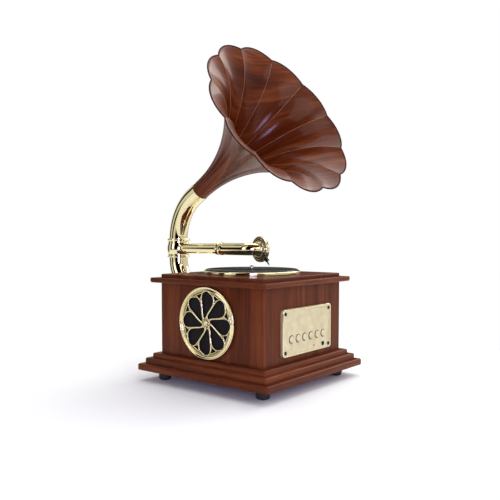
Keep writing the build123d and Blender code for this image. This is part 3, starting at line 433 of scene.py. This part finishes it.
# %% Horn: the shell
along_rows = 1 - (1 - np.linspace(0, 1, 110)) ** 1.25
per_petal = 20
around = np.arange(petals * per_petal) / per_petal
u_grid, share_grid = np.meshgrid(along_rows, around, indexing="ij")
outside = horn_points(u_grid, share_grid, 0.0)
inside = horn_points(u_grid, share_grid, wall)[::-1]
shell = np.concatenate([outside, inside])
u_all = np.concatenate([u_grid, u_grid[::-1]])
share_all = np.concatenate([share_grid, share_grid[::-1]])
rows, columns = shell.shape[:2]
flat_x, flat_y = horn_section(u_all, share_all, 0.0)
film_uv = np.stack([flat_x, flat_y], -1).reshape(-1, 2)
horn = mesh_piece(
    "petalled_horn", shell.reshape(-1, 3), grid_faces(rows, columns, True, True), uv=film_uv
)


def crease(piece, columns, every):
    """Mark the edges that run along every so many columns as sharp, so that a seam stays crisp."""
    mesh = piece.data
    ends = np.zeros(len(mesh.edges) * 2, int)
    mesh.edges.foreach_get("vertices", ends)
    ends = ends.reshape(-1, 2)
    on_seam = (ends % columns == (ends % columns)[:, :1]).all(1) & (ends[:, 0] % columns % every == 0)
    sharp = mesh.attributes.get("sharp_edge") or mesh.attributes.new("sharp_edge", "BOOLEAN", "EDGE")
    sharp.data.foreach_set("value", on_seam)


crease(horn, columns, per_petal)
print("horn shell faces:", len(horn.data.polygons))


# %% [markdown]
# A thin dark bead runs round the scalloped rim, where the film ends, and a pale line lies in each seam:
# partly wear of the film on the ridge, partly a painted highlight where the ridge catches the light. Both are
# small tubes carried along lines on the horn's own surface, so they follow every petal exactly. A tube is a
# ring of points carried along a path.

# %% A tube along a path
def tube_points(path, radius, around=10, closed=False):
    """Rings of points round a path: at each point, two directions across the path make the ring."""
    path = np.asarray(path, float)
    if closed:
        forward = np.roll(path, -1, 0) - np.roll(path, 1, 0)
    else:
        forward = np.gradient(path, axis=0)
    forward = forward / np.linalg.norm(forward, axis=1, keepdims=True)
    guide = np.array([0.31, 0.17, 0.93])
    first = np.cross(forward, guide)
    first = first / np.linalg.norm(first, axis=1, keepdims=True)
    second = np.cross(forward, first)
    turns = np.linspace(0, 2 * math.pi, around, endpoint=False)
    ring = first[:, None] * np.cos(turns)[None, :, None] + second[:, None] * np.sin(turns)[None, :, None]
    size = np.broadcast_to(np.asarray(radius, float), (len(path),))[:, None, None]
    return path[:, None] + ring * size


def tube(name, paths, radius, around=10, closed=False):
    """One mesh of tubes along several paths of equal length; open tubes end in a closing point."""
    points, faces, caps, base = [], [], [], 0
    for path in paths:
        rings = tube_points(path, radius, around, closed)
        count = len(rings)
        points.append(rings.reshape(-1, 3))
        faces.append(grid_faces(count, around, closed, True) + base)
        base += count * around
        if not closed:
            ends = np.array([path[0], path[-1]])
            points.append(ends)
            ring = np.arange(around)
            after = (ring + 1) % around
            last = (count - 1) * around
            low = np.stack([ring, after, np.full(around, count * around)], -1)
            high = np.stack([last + after, last + ring, np.full(around, count * around + 1)], -1)
            caps.append(np.concatenate([low, high]) + base - count * around)
            base += 2
    corners = np.concatenate(faces).tolist() + [t for c in caps for t in c.tolist()]
    made = mesh_piece(name, np.concatenate(points), corners)
    tidy = bmesh.new()
    tidy.from_mesh(made.data)
    bmesh.ops.recalc_face_normals(tidy, faces=tidy.faces)
    tidy.to_mesh(made.data)
    tidy.free()
    return made


# %% Horn: rim bead and seam lines
rim_share = np.arange(petals * 24) / 24
rim_path = horn_points(np.ones_like(rim_share), rim_share, 0.7 * MM)
rim_bead = tube("horn_rim_bead", [rim_path], 0.85 * MM, 12, closed=True)
# pale lines along the seam ridges: partly film wear, partly painted highlight
line_u = np.linspace(0.42, 0.992, 60)
seam_paths = [horn_points(line_u, np.full_like(line_u, k), wall) for k in range(petals)]
seam_highlight_lines = tube("horn_seam_wear_and_highlight_lines", seam_paths, 0.28 * MM, 6)
print("rim length, mm:", round(float(np.linalg.norm(np.diff(rim_path, axis=0), axis=1).sum() * 1000), 1))

# %% [markdown]
# The horn's film is laid on from the front, so its grain runs level across the whole mouth, whatever way
# a petal turns. The horn's map holds each point's place across and up the mouth, in metres, and the noise
# is stretched across it: pores 1.2 mm wide and about 45 mm long, under stripes 12 mm wide.

# %% Horn film
film, tree, shader = material(
    "mahogany_film_gloss_horn", Roughness=0.35, Specular_IOR_Level=0.15, Coat_Weight=0.24,
    Coat_Roughness=0.14, IOR=1.5, Specular_Tint=linear("E8B48A"), Coat_Tint=linear("E0B898"),
)
flat_map = add(tree, "UVMap", uv_map="surface").outputs["UV"]
pore_map = add(tree, "Mapping", {"Vector": flat_map}, Scale=(26, 1 / (1.3 * MM), 1)).outputs["Vector"]
band_map = add(tree, "Mapping", {"Vector": flat_map}, Scale=(9, 1 / (13 * MM), 1)).outputs["Vector"]
pore = add(tree, "TexNoise", {"Vector": pore_map}, Scale=1.0, Detail=5.0, Roughness=0.6, Distortion=0.3)
band = add(tree, "TexNoise", {"Vector": band_map}, Scale=1.0, Detail=4.0, Roughness=0.5, Distortion=1.2)
share = add(
    tree, "Mix", {"A": band.outputs["Fac"], "B": pore.outputs["Fac"]}, data_type="FLOAT", Factor=0.4
).outputs["Result"]
wood = ramp(tree, share, (0.3, "341004"), (0.5, "5F260C"), (0.7, "8C4A20"))
tree.links.new(wood, shader.inputs["Base Color"])
satin = add(tree, "MapRange", {"Value": pore.outputs["Fac"]}, To_Min=0.28, To_Max=0.46).outputs["Result"]
join(tree, satin, shader, "Roughness")
relief = add(tree, "Bump", {"Height": pore.outputs["Fac"]}, Strength=0.1, Distance=0.0003)
join(tree, relief.outputs["Normal"], shader, "Normal")

edge_film = grained("folded_film_edge", "260E07", "43190D", 1.5 * MM, 0.45, 0.6, Specular_IOR_Level=0.1)
# the pale seam lines are partly film wear, partly painted highlight where the ridges catch the light
seam_wear_and_painted_highlight = grained("seam_wear_and_painted_highlight_line", "8A5A3C", "B5825A", 2.0 * MM, 0.35, 0.5)
for piece, finish in ((horn, film), (rim_bead, edge_film), (seam_highlight_lines, seam_wear_and_painted_highlight)):
    piece.data.materials.append(finish)
    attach(piece, "horn")
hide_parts("horn_bell")
print("horn pieces ride on the horn body")


# %% [markdown]
# The disc is pressed with a raised edge, a run of grooves with smooth gaps between the tracks, and a plain
# ring round the label. Real grooves are a tenth of a millimetre apart, too fine to show, so the turned
# profile carries ripples 1.1 mm apart and the finish adds finer rings as bump. A lathe shape is a profile
# of radius and height carried round an axis.

# %% A lathe
def lathe(name, profile, origin, axis=(0, 0, 1), guide=(1, 0, 0), around=160, closed=True, uv=None):
    """A profile of (radius, height) pairs turned round an axis; a closed profile makes a ring-shaped
    solid, and an open one should start and end on the axis, where its points are merged to one pole."""
    profile = np.asarray(profile, float)
    axis, guide = np.asarray(axis, float), np.asarray(guide, float)
    second = np.cross(axis, guide)
    turns = np.linspace(0, 2 * math.pi, around, endpoint=False)
    ring = guide[None] * np.cos(turns)[:, None] + second[None] * np.sin(turns)[:, None]
    points = np.asarray(origin, float) + profile[:, None, :1] * ring[None] + profile[:, None, 1:] * axis
    made = mesh_piece(name, points.reshape(-1, 3), grid_faces(len(profile), around, closed, True))
    clean = bmesh.new()
    clean.from_mesh(made.data)
    bmesh.ops.remove_doubles(clean, verts=clean.verts, dist=1e-6)
    bmesh.ops.recalc_face_normals(clean, faces=clean.faces)
    clean.to_mesh(made.data)
    clean.free()
    return made


def rounded(start, end, bulge, count=8):
    """Points from start to end along an arc that bulges sideways by the given amount, ends included."""
    start, end = np.asarray(start, float), np.asarray(end, float)
    t = np.linspace(0, 1, count)[:, None]
    chord = end - start
    sideways = np.array([chord[1], -chord[0]]) / np.linalg.norm(chord)
    return start + chord * t + sideways * bulge * (1 - (2 * t - 1) ** 2)


# %% Pressed disc and label
disc_low, disc_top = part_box("record_disc")[0].z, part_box("record_disc")[1].z
hole, disc_edge = 2.55 * MM, span("record_disc")[0] / 2
flat_edge = 58.6 * MM
radius = np.linspace(20.6, 58.2, 230) * MM
track_gaps = sum(np.exp(-((radius / MM - gap) / 0.55) ** 2) for gap in (29.0, 36.5, 43.0, 50.5))
in_grooves = np.clip((radius / MM - 24.5) / 1.5, 0, 1) * np.clip((57.2 - radius / MM) / 1.0, 0, 1)
ripple = 0.07 * MM * np.cos(radius / MM * 2 * math.pi / 1.1) * in_grooves * (1 - np.clip(track_gaps, 0, 1))
dip = 0.16 * MM * (1 - np.clip(track_gaps, 0, 1) * 0.3) * in_grooves
top_line = np.stack([radius, disc_top - 0.1 * MM - dip + ripple], -1)
edge_line = rounded((flat_edge, disc_top - 0.05 * MM), (flat_edge, disc_low), flat_edge - disc_edge, 12)
disc_profile = np.concatenate([
    [[hole, disc_low], [hole, disc_top - 0.1 * MM], [20.3 * MM, disc_top - 0.1 * MM]], top_line, edge_line,
])
centre = (cabinet_x, cabinet_y, 0)
disc = lathe("pressed_disc", disc_profile, centre, around=180)
label_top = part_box("record_label")[1].z
label_profile = [
    (hole, disc_top - 0.15 * MM), (hole, label_top), (8 * MM, label_top), (8.3 * MM, label_top - 0.06 * MM),
    (18.6 * MM, label_top - 0.06 * MM), (19 * MM, label_top), (19.8 * MM, label_top - 0.02 * MM),
    (20 * MM, disc_top - 0.15 * MM),
]
label = lathe("paper_label", label_profile, centre, around=96)
print("disc edge radius, mm:", round(disc_edge * 1000, 2))

vinyl, tree, shader = material("pressed_vinyl", Specular_IOR_Level=0.28, IOR=1.54)
place = add(tree, "TexCoord").outputs["Object"]
centred = add(
    tree, "Mapping", {"Vector": place}, Location=(-cabinet_x, -cabinet_y, 0), Scale=(1, 1, 0)
).outputs[0]
rings = add(
    tree, "TexWave", {"Vector": centred}, wave_type="RINGS", rings_direction="Z",
    Scale=1 / (0.8 * MM) / 20, Distortion=0.4, Detail=2.0,
).outputs["Fac"]
soot = add(tree, "TexNoise", {"Vector": place}, Scale=120.0, Detail=4.0).outputs["Fac"]
tree.links.new(ramp(tree, soot, (0.3, "0C0B08"), (0.7, "191712")), shader.inputs["Base Color"])
gloss = add(tree, "MapRange", {"Value": rings}, To_Min=0.3, To_Max=0.42).outputs["Result"]
join(tree, gloss, shader, "Roughness")
relief = add(tree, "Bump", {"Height": rings}, Strength=0.25, Distance=0.0002)
join(tree, relief.outputs["Normal"], shader, "Normal")
paper = grained("dark_printed_paper", "1A1817", "2B2826", 1.0 * MM, 0.55, 0.7)
disc.data.materials.append(vinyl)
label.data.materials.append(paper)
for piece, node, slot in ((disc, "record_disc", "record"), (label, "record_label", "label")):
    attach(piece, "platter")
    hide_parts(node)

# %% [markdown]
# The grille is a cast brass ring round a rosette of eight swirling openings, with dark cloth stretched
# behind it. The ring has a round bead at each edge, and the slope between them turns outwards, so that it
# mirrors the dark side of a room on one side and the light side on the other. The rosette's flat casting
# is right already. The raised wires that edge each opening, and the pearls along the ribs, are added on
# it, because they catch the light.

# %% Grille: a plane on the left side
face_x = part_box("grille_ring")[1].x
grille_y, grille_z = middle("grille_ring")[1:]
grille_r = span("grille_ring")[1] / 2
ring_width = 5.4 * MM
inner_r = grille_r - ring_width


def on_grille(x, y, out):
    """Places points given across, up and out from the grille's face, in metres, on the cabinet's side."""
    out = np.broadcast_to(out, np.shape(x))
    return np.stack([face_x - out, grille_y - np.asarray(x), grille_z + np.asarray(y)], -1)


def pearls(name, centres, radius, across_rings=5, around=8):
    """Small balls at many places: one ball's points, as rings from pole to pole, added to each centre."""
    lift = np.linspace(0, math.pi, across_rings + 2)[1:-1]
    turns = np.linspace(0, 2 * math.pi, around, endpoint=False)
    ring = np.stack(np.broadcast_arrays(
        np.sin(lift)[:, None] * np.cos(turns), np.sin(lift)[:, None] * np.sin(turns), np.cos(lift)[:, None],
    ), -1).reshape(-1, 3)
    ball = np.concatenate([ring, [[0, 0, 1], [0, 0, -1]]])
    quads = grid_faces(across_rings, around, False, True)[:, ::-1]
    step = np.arange(around)
    north = np.stack([np.full(around, len(ring)), step, (step + 1) % around], -1)
    last = (across_rings - 1) * around
    south = np.stack([np.full(around, len(ring) + 1), last + (step + 1) % around, last + step], -1)
    centres = np.asarray(centres, float)
    size = np.broadcast_to(np.asarray(radius, float), (len(centres),))
    points = (centres[:, None] + ball[None] * size[:, None, None]).reshape(-1, 3)
    shift = (np.arange(len(centres)) * len(ball))[:, None, None]
    faces = [
        face for part in (quads, north, south)
        for face in (part[None] + shift).reshape(-1, part.shape[1]).tolist()
    ]
    return mesh_piece(name, points, faces)


# %% Grille: ring with two beads and a slope between them
outer_bead, inner_bead, crest = 0.75 * MM, 0.6 * MM, 4.0 * MM


def bead_arc(radius, middle_r, start, end):
    """Part of a circle with its top at the crest, from one angle to another in half turns."""
    a = np.linspace(start, end, 12)[:, None] * math.pi
    return np.concatenate([np.cos(a), np.sin(a)], 1) * radius + [middle_r, crest - radius]


slope_in = (inner_r + 2 * inner_bead, crest - 0.45 * MM)
slope_out = (grille_r - 2 * outer_bead, crest - 1.05 * MM)
ring_profile = np.concatenate([
    [[grille_r - 0.15 * MM, 0.0]], bead_arc(outer_bead, grille_r - outer_bead, -0.25, 1.1),
    [slope_out, slope_in],
    bead_arc(inner_bead, inner_r + inner_bead, 0.1, 1.0), [[inner_r, 0.0]],
])
grille_ring = lathe(
    "beaded_grille_ring", ring_profile, (face_x, grille_y, grille_z), (-1, 0, 0), (0, -1, 0), around=220
)
print("grille radius, mm:", round(grille_r * 1000, 2))

# %% Grille: wires round the openings
petal_outline = np.array([
    (0.16, 18), (0.24, -1), (0.34, -10), (0.52, -19), (0.70, -21.5), (0.86, -16), (0.955, -5.5),
    (0.99, 3), (0.92, 12), (0.75, 16.5), (0.54, 19.5), (0.36, 25), (0.24, 31),
])
spandrel_outline = np.array([(0.955, 8), (0.955, -11), (0.77, 0)])


def smooth_loop(points, per_step=9):
    """A closed curve through the given points: between two points, a cubic whose slopes come from the
    points before and after them."""
    before, after, later = (np.roll(points, k, 0) for k in (1, -1, -2))
    t = (np.arange(per_step) / per_step)[None, :, None]
    p0, p1, p2, p3 = (p[:, None] for p in (before, points, after, later))
    curve = 0.5 * (
        2 * p1 + (p2 - p0) * t + (2 * p0 - 5 * p1 + 4 * p2 - p3) * t ** 2
        + (3 * p1 - p0 - 3 * p2 + p3) * t ** 3
    )
    return curve.reshape(-1, 2)


def polar(outline, turned):
    """Across and up from shares of the rosette's radius and degrees round it."""
    a = np.radians(outline[:, 1] + turned)
    return outline[:, :1] * inner_r * np.stack([np.cos(a), np.sin(a)], -1)


wire_out = 2.8 * MM
petal_turns = 87 + 45.0 * np.arange(8)


def widened(loop, by):
    """Moves a closed loop outwards, at each point square to the line from the point before to the next."""
    run = np.roll(loop, -1, 0) - np.roll(loop, 1, 0)
    out = np.stack([run[:, 1], -run[:, 0]], -1)
    out = out / np.linalg.norm(out, axis=1, keepdims=True)
    turns_left = (loop[:, 0] * np.roll(loop[:, 1], -1) - np.roll(loop[:, 0], -1) * loop[:, 1]).sum() > 0
    return loop + out * (by if turns_left else -by)


petal_loops = [widened(smooth_loop(polar(petal_outline, turned)), 0.6 * MM) for turned in petal_turns]
petal_paths = [on_grille(loop[:, 0], loop[:, 1], wire_out) for loop in petal_loops]
corner_paths = []
for turned in petal_turns - 22.5:
    corners = polar(spandrel_outline, turned)
    t = np.linspace(0, 1, 8, endpoint=False)[:, None]
    sides = [corners[k] * (1 - t) + corners[(k + 1) % 3] * t for k in range(3)]
    loop = np.concatenate(sides)
    corner_paths.append(on_grille(loop[:, 0], loop[:, 1], wire_out))
petal_wires = tube("rosette_petal_wires", petal_paths, 0.65 * MM, 10, closed=True)
corner_wires = tube("rosette_corner_wires", corner_paths, 0.45 * MM, 8, closed=True)

# %% Grille: pearls on the ribs, and the swirling hub
rib_share = np.linspace(0.3, 0.8, 8)
rib_bend = np.interp(rib_share, [0.2, 0.34, 0.52, 0.73, 0.86], [41.0, 30.0, 23.0, 20.3, 21.5])
spots = [
    polar(np.stack([rib_share, rib_bend], -1), turned) for turned in petal_turns
]
spots = np.concatenate(spots)
rib_size = np.tile(np.linspace(0.4, 0.75, 8), 8) * MM
rib_pearls = pearls("rosette_rib_pearls", on_grille(spots[:, 0], spots[:, 1], wire_out + 0.25 * MM), rib_size)
hub_t = np.linspace(0, 1, 16)
hub_paths = []
for k in range(8):
    swirl = np.radians(45 * k + 100 * hub_t)
    reach = (1.0 + 4.6 * hub_t) * MM
    hub_paths.append(on_grille(reach * np.cos(swirl), reach * np.sin(swirl), 4.1 * MM - 1.0 * MM * hub_t))
hub_swirl = tube("rosette_hub_swirl", hub_paths, 0.75 * MM, 8)
hub_button = lathe(
    "rosette_hub_button",
    np.concatenate([[[0, 3.2 * MM]], rounded((2.2 * MM, 3.4 * MM), (0, 4.9 * MM), 0.35 * MM, 8)]),
    (face_x, grille_y, grille_z), (-1, 0, 0), (0, -1, 0), around=32,
)
brass_pieces = [
    grille_ring, petal_wires, corner_wires, rib_pearls, hub_swirl, hub_button,
]
for piece in brass_pieces:
    piece.data.materials.append(polished_brass)
    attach(piece, "cabinet")
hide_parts("grille_ring")
# the darker brass of the flat casting is partly painted shade and dark reflection between the wires
dress(cast_brass_and_painted_shade, "grille_rosette")
print("grille pieces:", [p.name for p in brass_pieces])

# %% [markdown]
# The cloth is a plain weave of dark polyester, stretched flat, and it swells very slightly into each
# opening. Its threads are some 0.5 mm apart; at this distance that would only shimmer, so they are drawn
# 0.9 mm apart. The weave is two waves at right angles on the cloth's own map, one over and one under.

# %% Cloth behind the rosette
cloth_rows, cloth_turns = 40, 120
reach = np.linspace(0.4 * MM, inner_r - 0.05 * MM, cloth_rows)[:, None]
angle = np.linspace(0, 2 * math.pi, cloth_turns, endpoint=False)[None]
cloth_x, cloth_y = reach * np.cos(angle), reach * np.sin(angle)
swell = 0.25 * MM * (np.sin(reach / inner_r * math.pi) ** 2) * (0.6 + 0.4 * np.cos(8 * (angle - 1.52)))
front = on_grille(cloth_x, cloth_y, 0.45 * MM + swell).reshape(-1, 3)
pole = on_grille(np.zeros(1), np.zeros(1), 0.45 * MM)
cloth_faces = grid_faces(cloth_rows, cloth_turns, False, True).tolist()
step = np.arange(cloth_turns)
cloth_faces += np.stack([np.full(cloth_turns, len(front)), (step + 1) % cloth_turns, step], -1).tolist()
cloth_map = np.concatenate([np.stack([cloth_x, cloth_y], -1).reshape(-1, 2), [[0, 0]]])
cloth = mesh_piece("stretched_speaker_cloth", np.concatenate([front, pole]), cloth_faces, uv=cloth_map)
thick = cloth.modifiers.new("thickness", "SOLIDIFY")
thick.thickness, thick.offset = 0.3 * MM, 0.0

weave, tree, shader = material(
    "woven_dark_polyester", Roughness=0.85, Sheen_Weight=0.1, Sheen_Roughness=0.4, Specular_IOR_Level=0.25
)
flat_map = add(tree, "UVMap", uv_map="surface").outputs["UV"]
thread = 0.9 * MM
# the wave node makes 20 / 6.28 waves in one unit of its map
waves = 1 / thread / 20 * 6.28
warp = add(tree, "TexWave", {"Vector": flat_map}, bands_direction="X", Scale=waves, Distortion=0.3)
weft = add(tree, "TexWave", {"Vector": flat_map}, bands_direction="Y", Scale=waves, Distortion=0.3)
over = add(
    tree, "Math", {0: warp.outputs["Fac"], 1: weft.outputs["Fac"]}, operation="MULTIPLY"
).outputs["Value"]
cloud = add(tree, "TexNoise", {"Vector": flat_map}, Scale=90.0, Detail=3.0).outputs["Fac"]
mixed = add(tree, "Mix", {"A": over, "B": cloud}, data_type="FLOAT", Factor=0.4).outputs["Result"]
threads = ramp(tree, mixed, (0.1, "060405"), (0.5, "110B0D"), (0.9, "231A22"))
tree.links.new(threads, shader.inputs["Base Color"])
relief = add(tree, "Bump", {"Height": over}, Strength=0.4, Distance=0.0003)
join(tree, relief.outputs["Normal"], shader, "Normal")
cloth.data.materials.append(weave)
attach(cloth, "cabinet")
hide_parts("speaker_cloth")
print("cloth radius, mm:", round(inner_r * 1000, 2))

# %% [markdown]
# The control plate's border is polished after the face is brushed, so it mirrors the room in a thin
# bright and dark line, and a dark ring of painted shade lies in the dish of each button hole, thickest at the
# upper left, where the shade falls.
# Both are tubes along closed paths: a rectangle with round corners, and circles with a changing radius.

# %% Control plate: polished border and painted shade in the dishes
plate_low, plate_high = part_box("control_plate")
plate_centre = (plate_low + plate_high) / 2
border_r, corner_r = 0.95 * MM, 3.1 * MM
half_w = (plate_high.x - plate_low.x) / 2 - border_r - corner_r
half_h = (plate_high.z - plate_low.z) / 2 - border_r - corner_r
quarter = np.linspace(0, math.pi / 2, 10)
border_path = np.concatenate([
    np.stack([
        plate_centre.x + half_w * sx + corner_r * np.cos(quarter + start),
        np.full(10, plate_low.y + 0.65 * MM),
        plate_centre.z + half_h * sz + corner_r * np.sin(quarter + start),
    ], -1)
    for sx, sz, start in ((1, 1, 0), (-1, 1, math.pi / 2), (-1, -1, math.pi), (1, -1, 1.5 * math.pi))
])
border = tube("plate_polished_border", [border_path], border_r, 12, closed=True)
dish_turn = np.linspace(0, 2 * math.pi, 48, endpoint=False)
# the dark ring in each dish is painted shade, thickest at the upper left where the shade falls
dish_shade_r = (0.3 + 0.22 * np.cos(dish_turn - math.radians(150))) * MM
dish_paths = []
for k in range(1, 7):
    button_x, _, button_z = middle(f"button_{k}")
    dish_paths.append(np.stack([
        button_x + 4.86 * MM * np.cos(dish_turn), np.full(48, plate_low.y + 0.55 * MM),
        button_z + 4.86 * MM * np.sin(dish_turn),
    ], -1))
dish_painted_shade = tube("button_dish_painted_shade", dish_paths, dish_shade_r, 8, closed=True)
# dark colour of the painted shade in the button dishes
painted_dish_shade_finish = grained("painted_shade_in_button_dish", "2A2011", "44361F", 0.8 * MM, 0.5, 0.7)
for piece, finish in ((border, polished_brass), (dish_painted_shade, painted_dish_shade_finish)):
    piece.data.materials.append(finish)
    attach(piece, "cabinet")
border_steps = np.linalg.norm(np.diff(border_path, axis=0), axis=1)
print("border length, mm:", round(float(border_steps.sum() * 1000), 1))

# %% [markdown]
# The sound box is a shallow turned drum: a rounded rim, a near-black band in each of two grooves, a raised
# ring, and a boss round the elbow on its back. Its front shows a thin corrugated diaphragm, held by a knurled
# rim. All are lathe shapes about the drum's own slanted axis, so one origin and one direction serve.

# %% Sound box
swing = math.radians(73.6)
box_axis = np.array([math.sin(swing), -math.cos(swing), 0])
box_guide = np.array([0, 0, 1.0])
low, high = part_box("sound_box_case")
box_r = (high.z - low.z) / 2
box_middle = np.array([(low.x + high.x) / 2, (low.y + high.y) / 2, (low.z + high.z) / 2])
box_back = box_middle - box_axis * 3.5 * MM
r0 = box_r / MM
case_profile = np.concatenate([
    [(9.4, 0.6)], rounded((9.5, 0.2), (11.2, 0.2), 0.0, 2), [(11.4, 0.9), (13.1, 0.9)],
    rounded((13.2, 0.6), (14.1, 0.6), 0.4, 7), [(14.2, 1.0), (15.7, 1.0)],
    rounded((15.8, 0.8), (r0, 1.9), 0.4, 7), [(r0 - 0.25, 2.3), (r0 - 0.25, 4.7)],
    rounded((r0, 5.1), (15.2, 6.6), 0.45, 7),
    [(14.8, 6.2), (14.6, 5.4), (13.8, 5.2), (13.8, 2.1), (9.4, 2.1)],
]) * MM
case = lathe("sound_box_drum", case_profile, box_back, box_axis, box_guide, around=128)
# two near-black rings fill the grooves of the drum's back
dark_band_profile = np.concatenate([
    rounded((11.3, 0.8), (13.2, 0.8), 0.35, 6), [(13.2, 1.2), (11.3, 1.2)],
]) * MM
dark_band_ring = lathe("sound_box_dark_band", dark_band_profile, box_back, box_axis, box_guide, around=96)
outer_dark_band_profile = np.concatenate([
    rounded((14.1, 0.9), (15.8, 0.9), 0.4, 6), [(15.8, 1.3), (14.1, 1.3)],
]) * MM
outer_dark_band_ring = lathe("sound_box_outer_dark_band", outer_dark_band_profile, box_back, box_axis, box_guide, around=96)
boss_profile = np.concatenate([
    [(7.9, 0.1)], rounded((9.6, 0.0), (8.3, -2.6), -0.5, 8), [(7.95, -2.6)],
]) * MM
boss = lathe("sound_box_boss", boss_profile, box_back, box_axis, box_guide, around=96)
wave_r = np.linspace(0.001, 14.2, 90)
wave_h = 5.55 + 0.16 * np.cos(wave_r * 2 * math.pi / 2.6) * np.clip(wave_r / 3, 0, 1)
skin_profile = np.concatenate([
    np.stack([wave_r, wave_h], -1), [(14.2, 5.2), (0.001, 5.2)],
]) * MM
skin = lathe("corrugated_diaphragm", skin_profile, box_back, box_axis, box_guide, around=96)
knurl_turn = np.arange(72) / 72 * 2 * math.pi
box_side = np.cross(box_axis, box_guide)
knurl_at = box_back + box_axis * 3.5 * MM + (r0 - 0.3) * MM * (
    box_guide * np.cos(knurl_turn)[:, None] + box_side * np.sin(knurl_turn)[:, None]
)
knurl = pearls("sound_box_knurling", knurl_at, 0.42 * MM, 4, 6)
# the two near-black bands are labelled rubber below, but they are plain near-black rings
for piece, finish, slot in (
    (case, polished_brass, "brass"), (boss, polished_brass, "brass"), (knurl, polished_brass, "brass"),
    (dark_band_ring, near_black_band_finish, "rubber"), (outer_dark_band_ring, near_black_band_finish, "rubber"),
    (skin, turned_steel, "diaphragm"),
):
    piece.data.materials.append(finish)
    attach(piece, "sound_box")
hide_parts("sound_box_case")
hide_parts("sound_box_diaphragm")
dress(black_oxide, "needle", "needle_holder")
print("sound box radius, mm:", round(r0, 2))

# %% [markdown]
# The elbow begins as a round-nosed sleeve over the tonearm's end, a little fatter than the tube, and then
# bends towards the sound box. It is a ring carried along a straight and an arc, with a radius that swells
# near its start.

# %% Elbow
elbow_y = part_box("tonearm_tube")[0].y - 0.3 * MM
arm_x, _, arm_z = middle("tonearm_tube")
straight, bend_r = 44, 15
straight_s = np.linspace(0, straight, 60)
arc_a = np.linspace(0, swing, 40)[1:]
path_ahead = np.concatenate([straight_s, straight + bend_r * np.sin(arc_a)])
path_right = np.concatenate([np.zeros(60), bend_r * (1 - np.cos(arc_a))])
elbow_path = np.stack([
    arm_x + path_right * MM, elbow_y - path_ahead * MM, np.full(len(path_ahead), arm_z)
], -1)
walked = np.concatenate([straight_s, straight + bend_r * arc_a])
nose = np.sqrt(np.clip(1 - (1 - np.clip(walked / 4.5, 0, 1)) ** 2, 0, 1))
elbow_r = (6.3 + 1.7 * nose + 0.5 * np.exp(-((walked - 5) / 3) ** 2)) * MM
elbow_piece = tube("sleeved_elbow", [elbow_path], elbow_r, 48)
elbow_piece.data.materials.append(polished_brass)
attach(elbow_piece, "sound_box")
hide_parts("elbow")
print("elbow length, mm:", round(float(walked[-1]), 1))
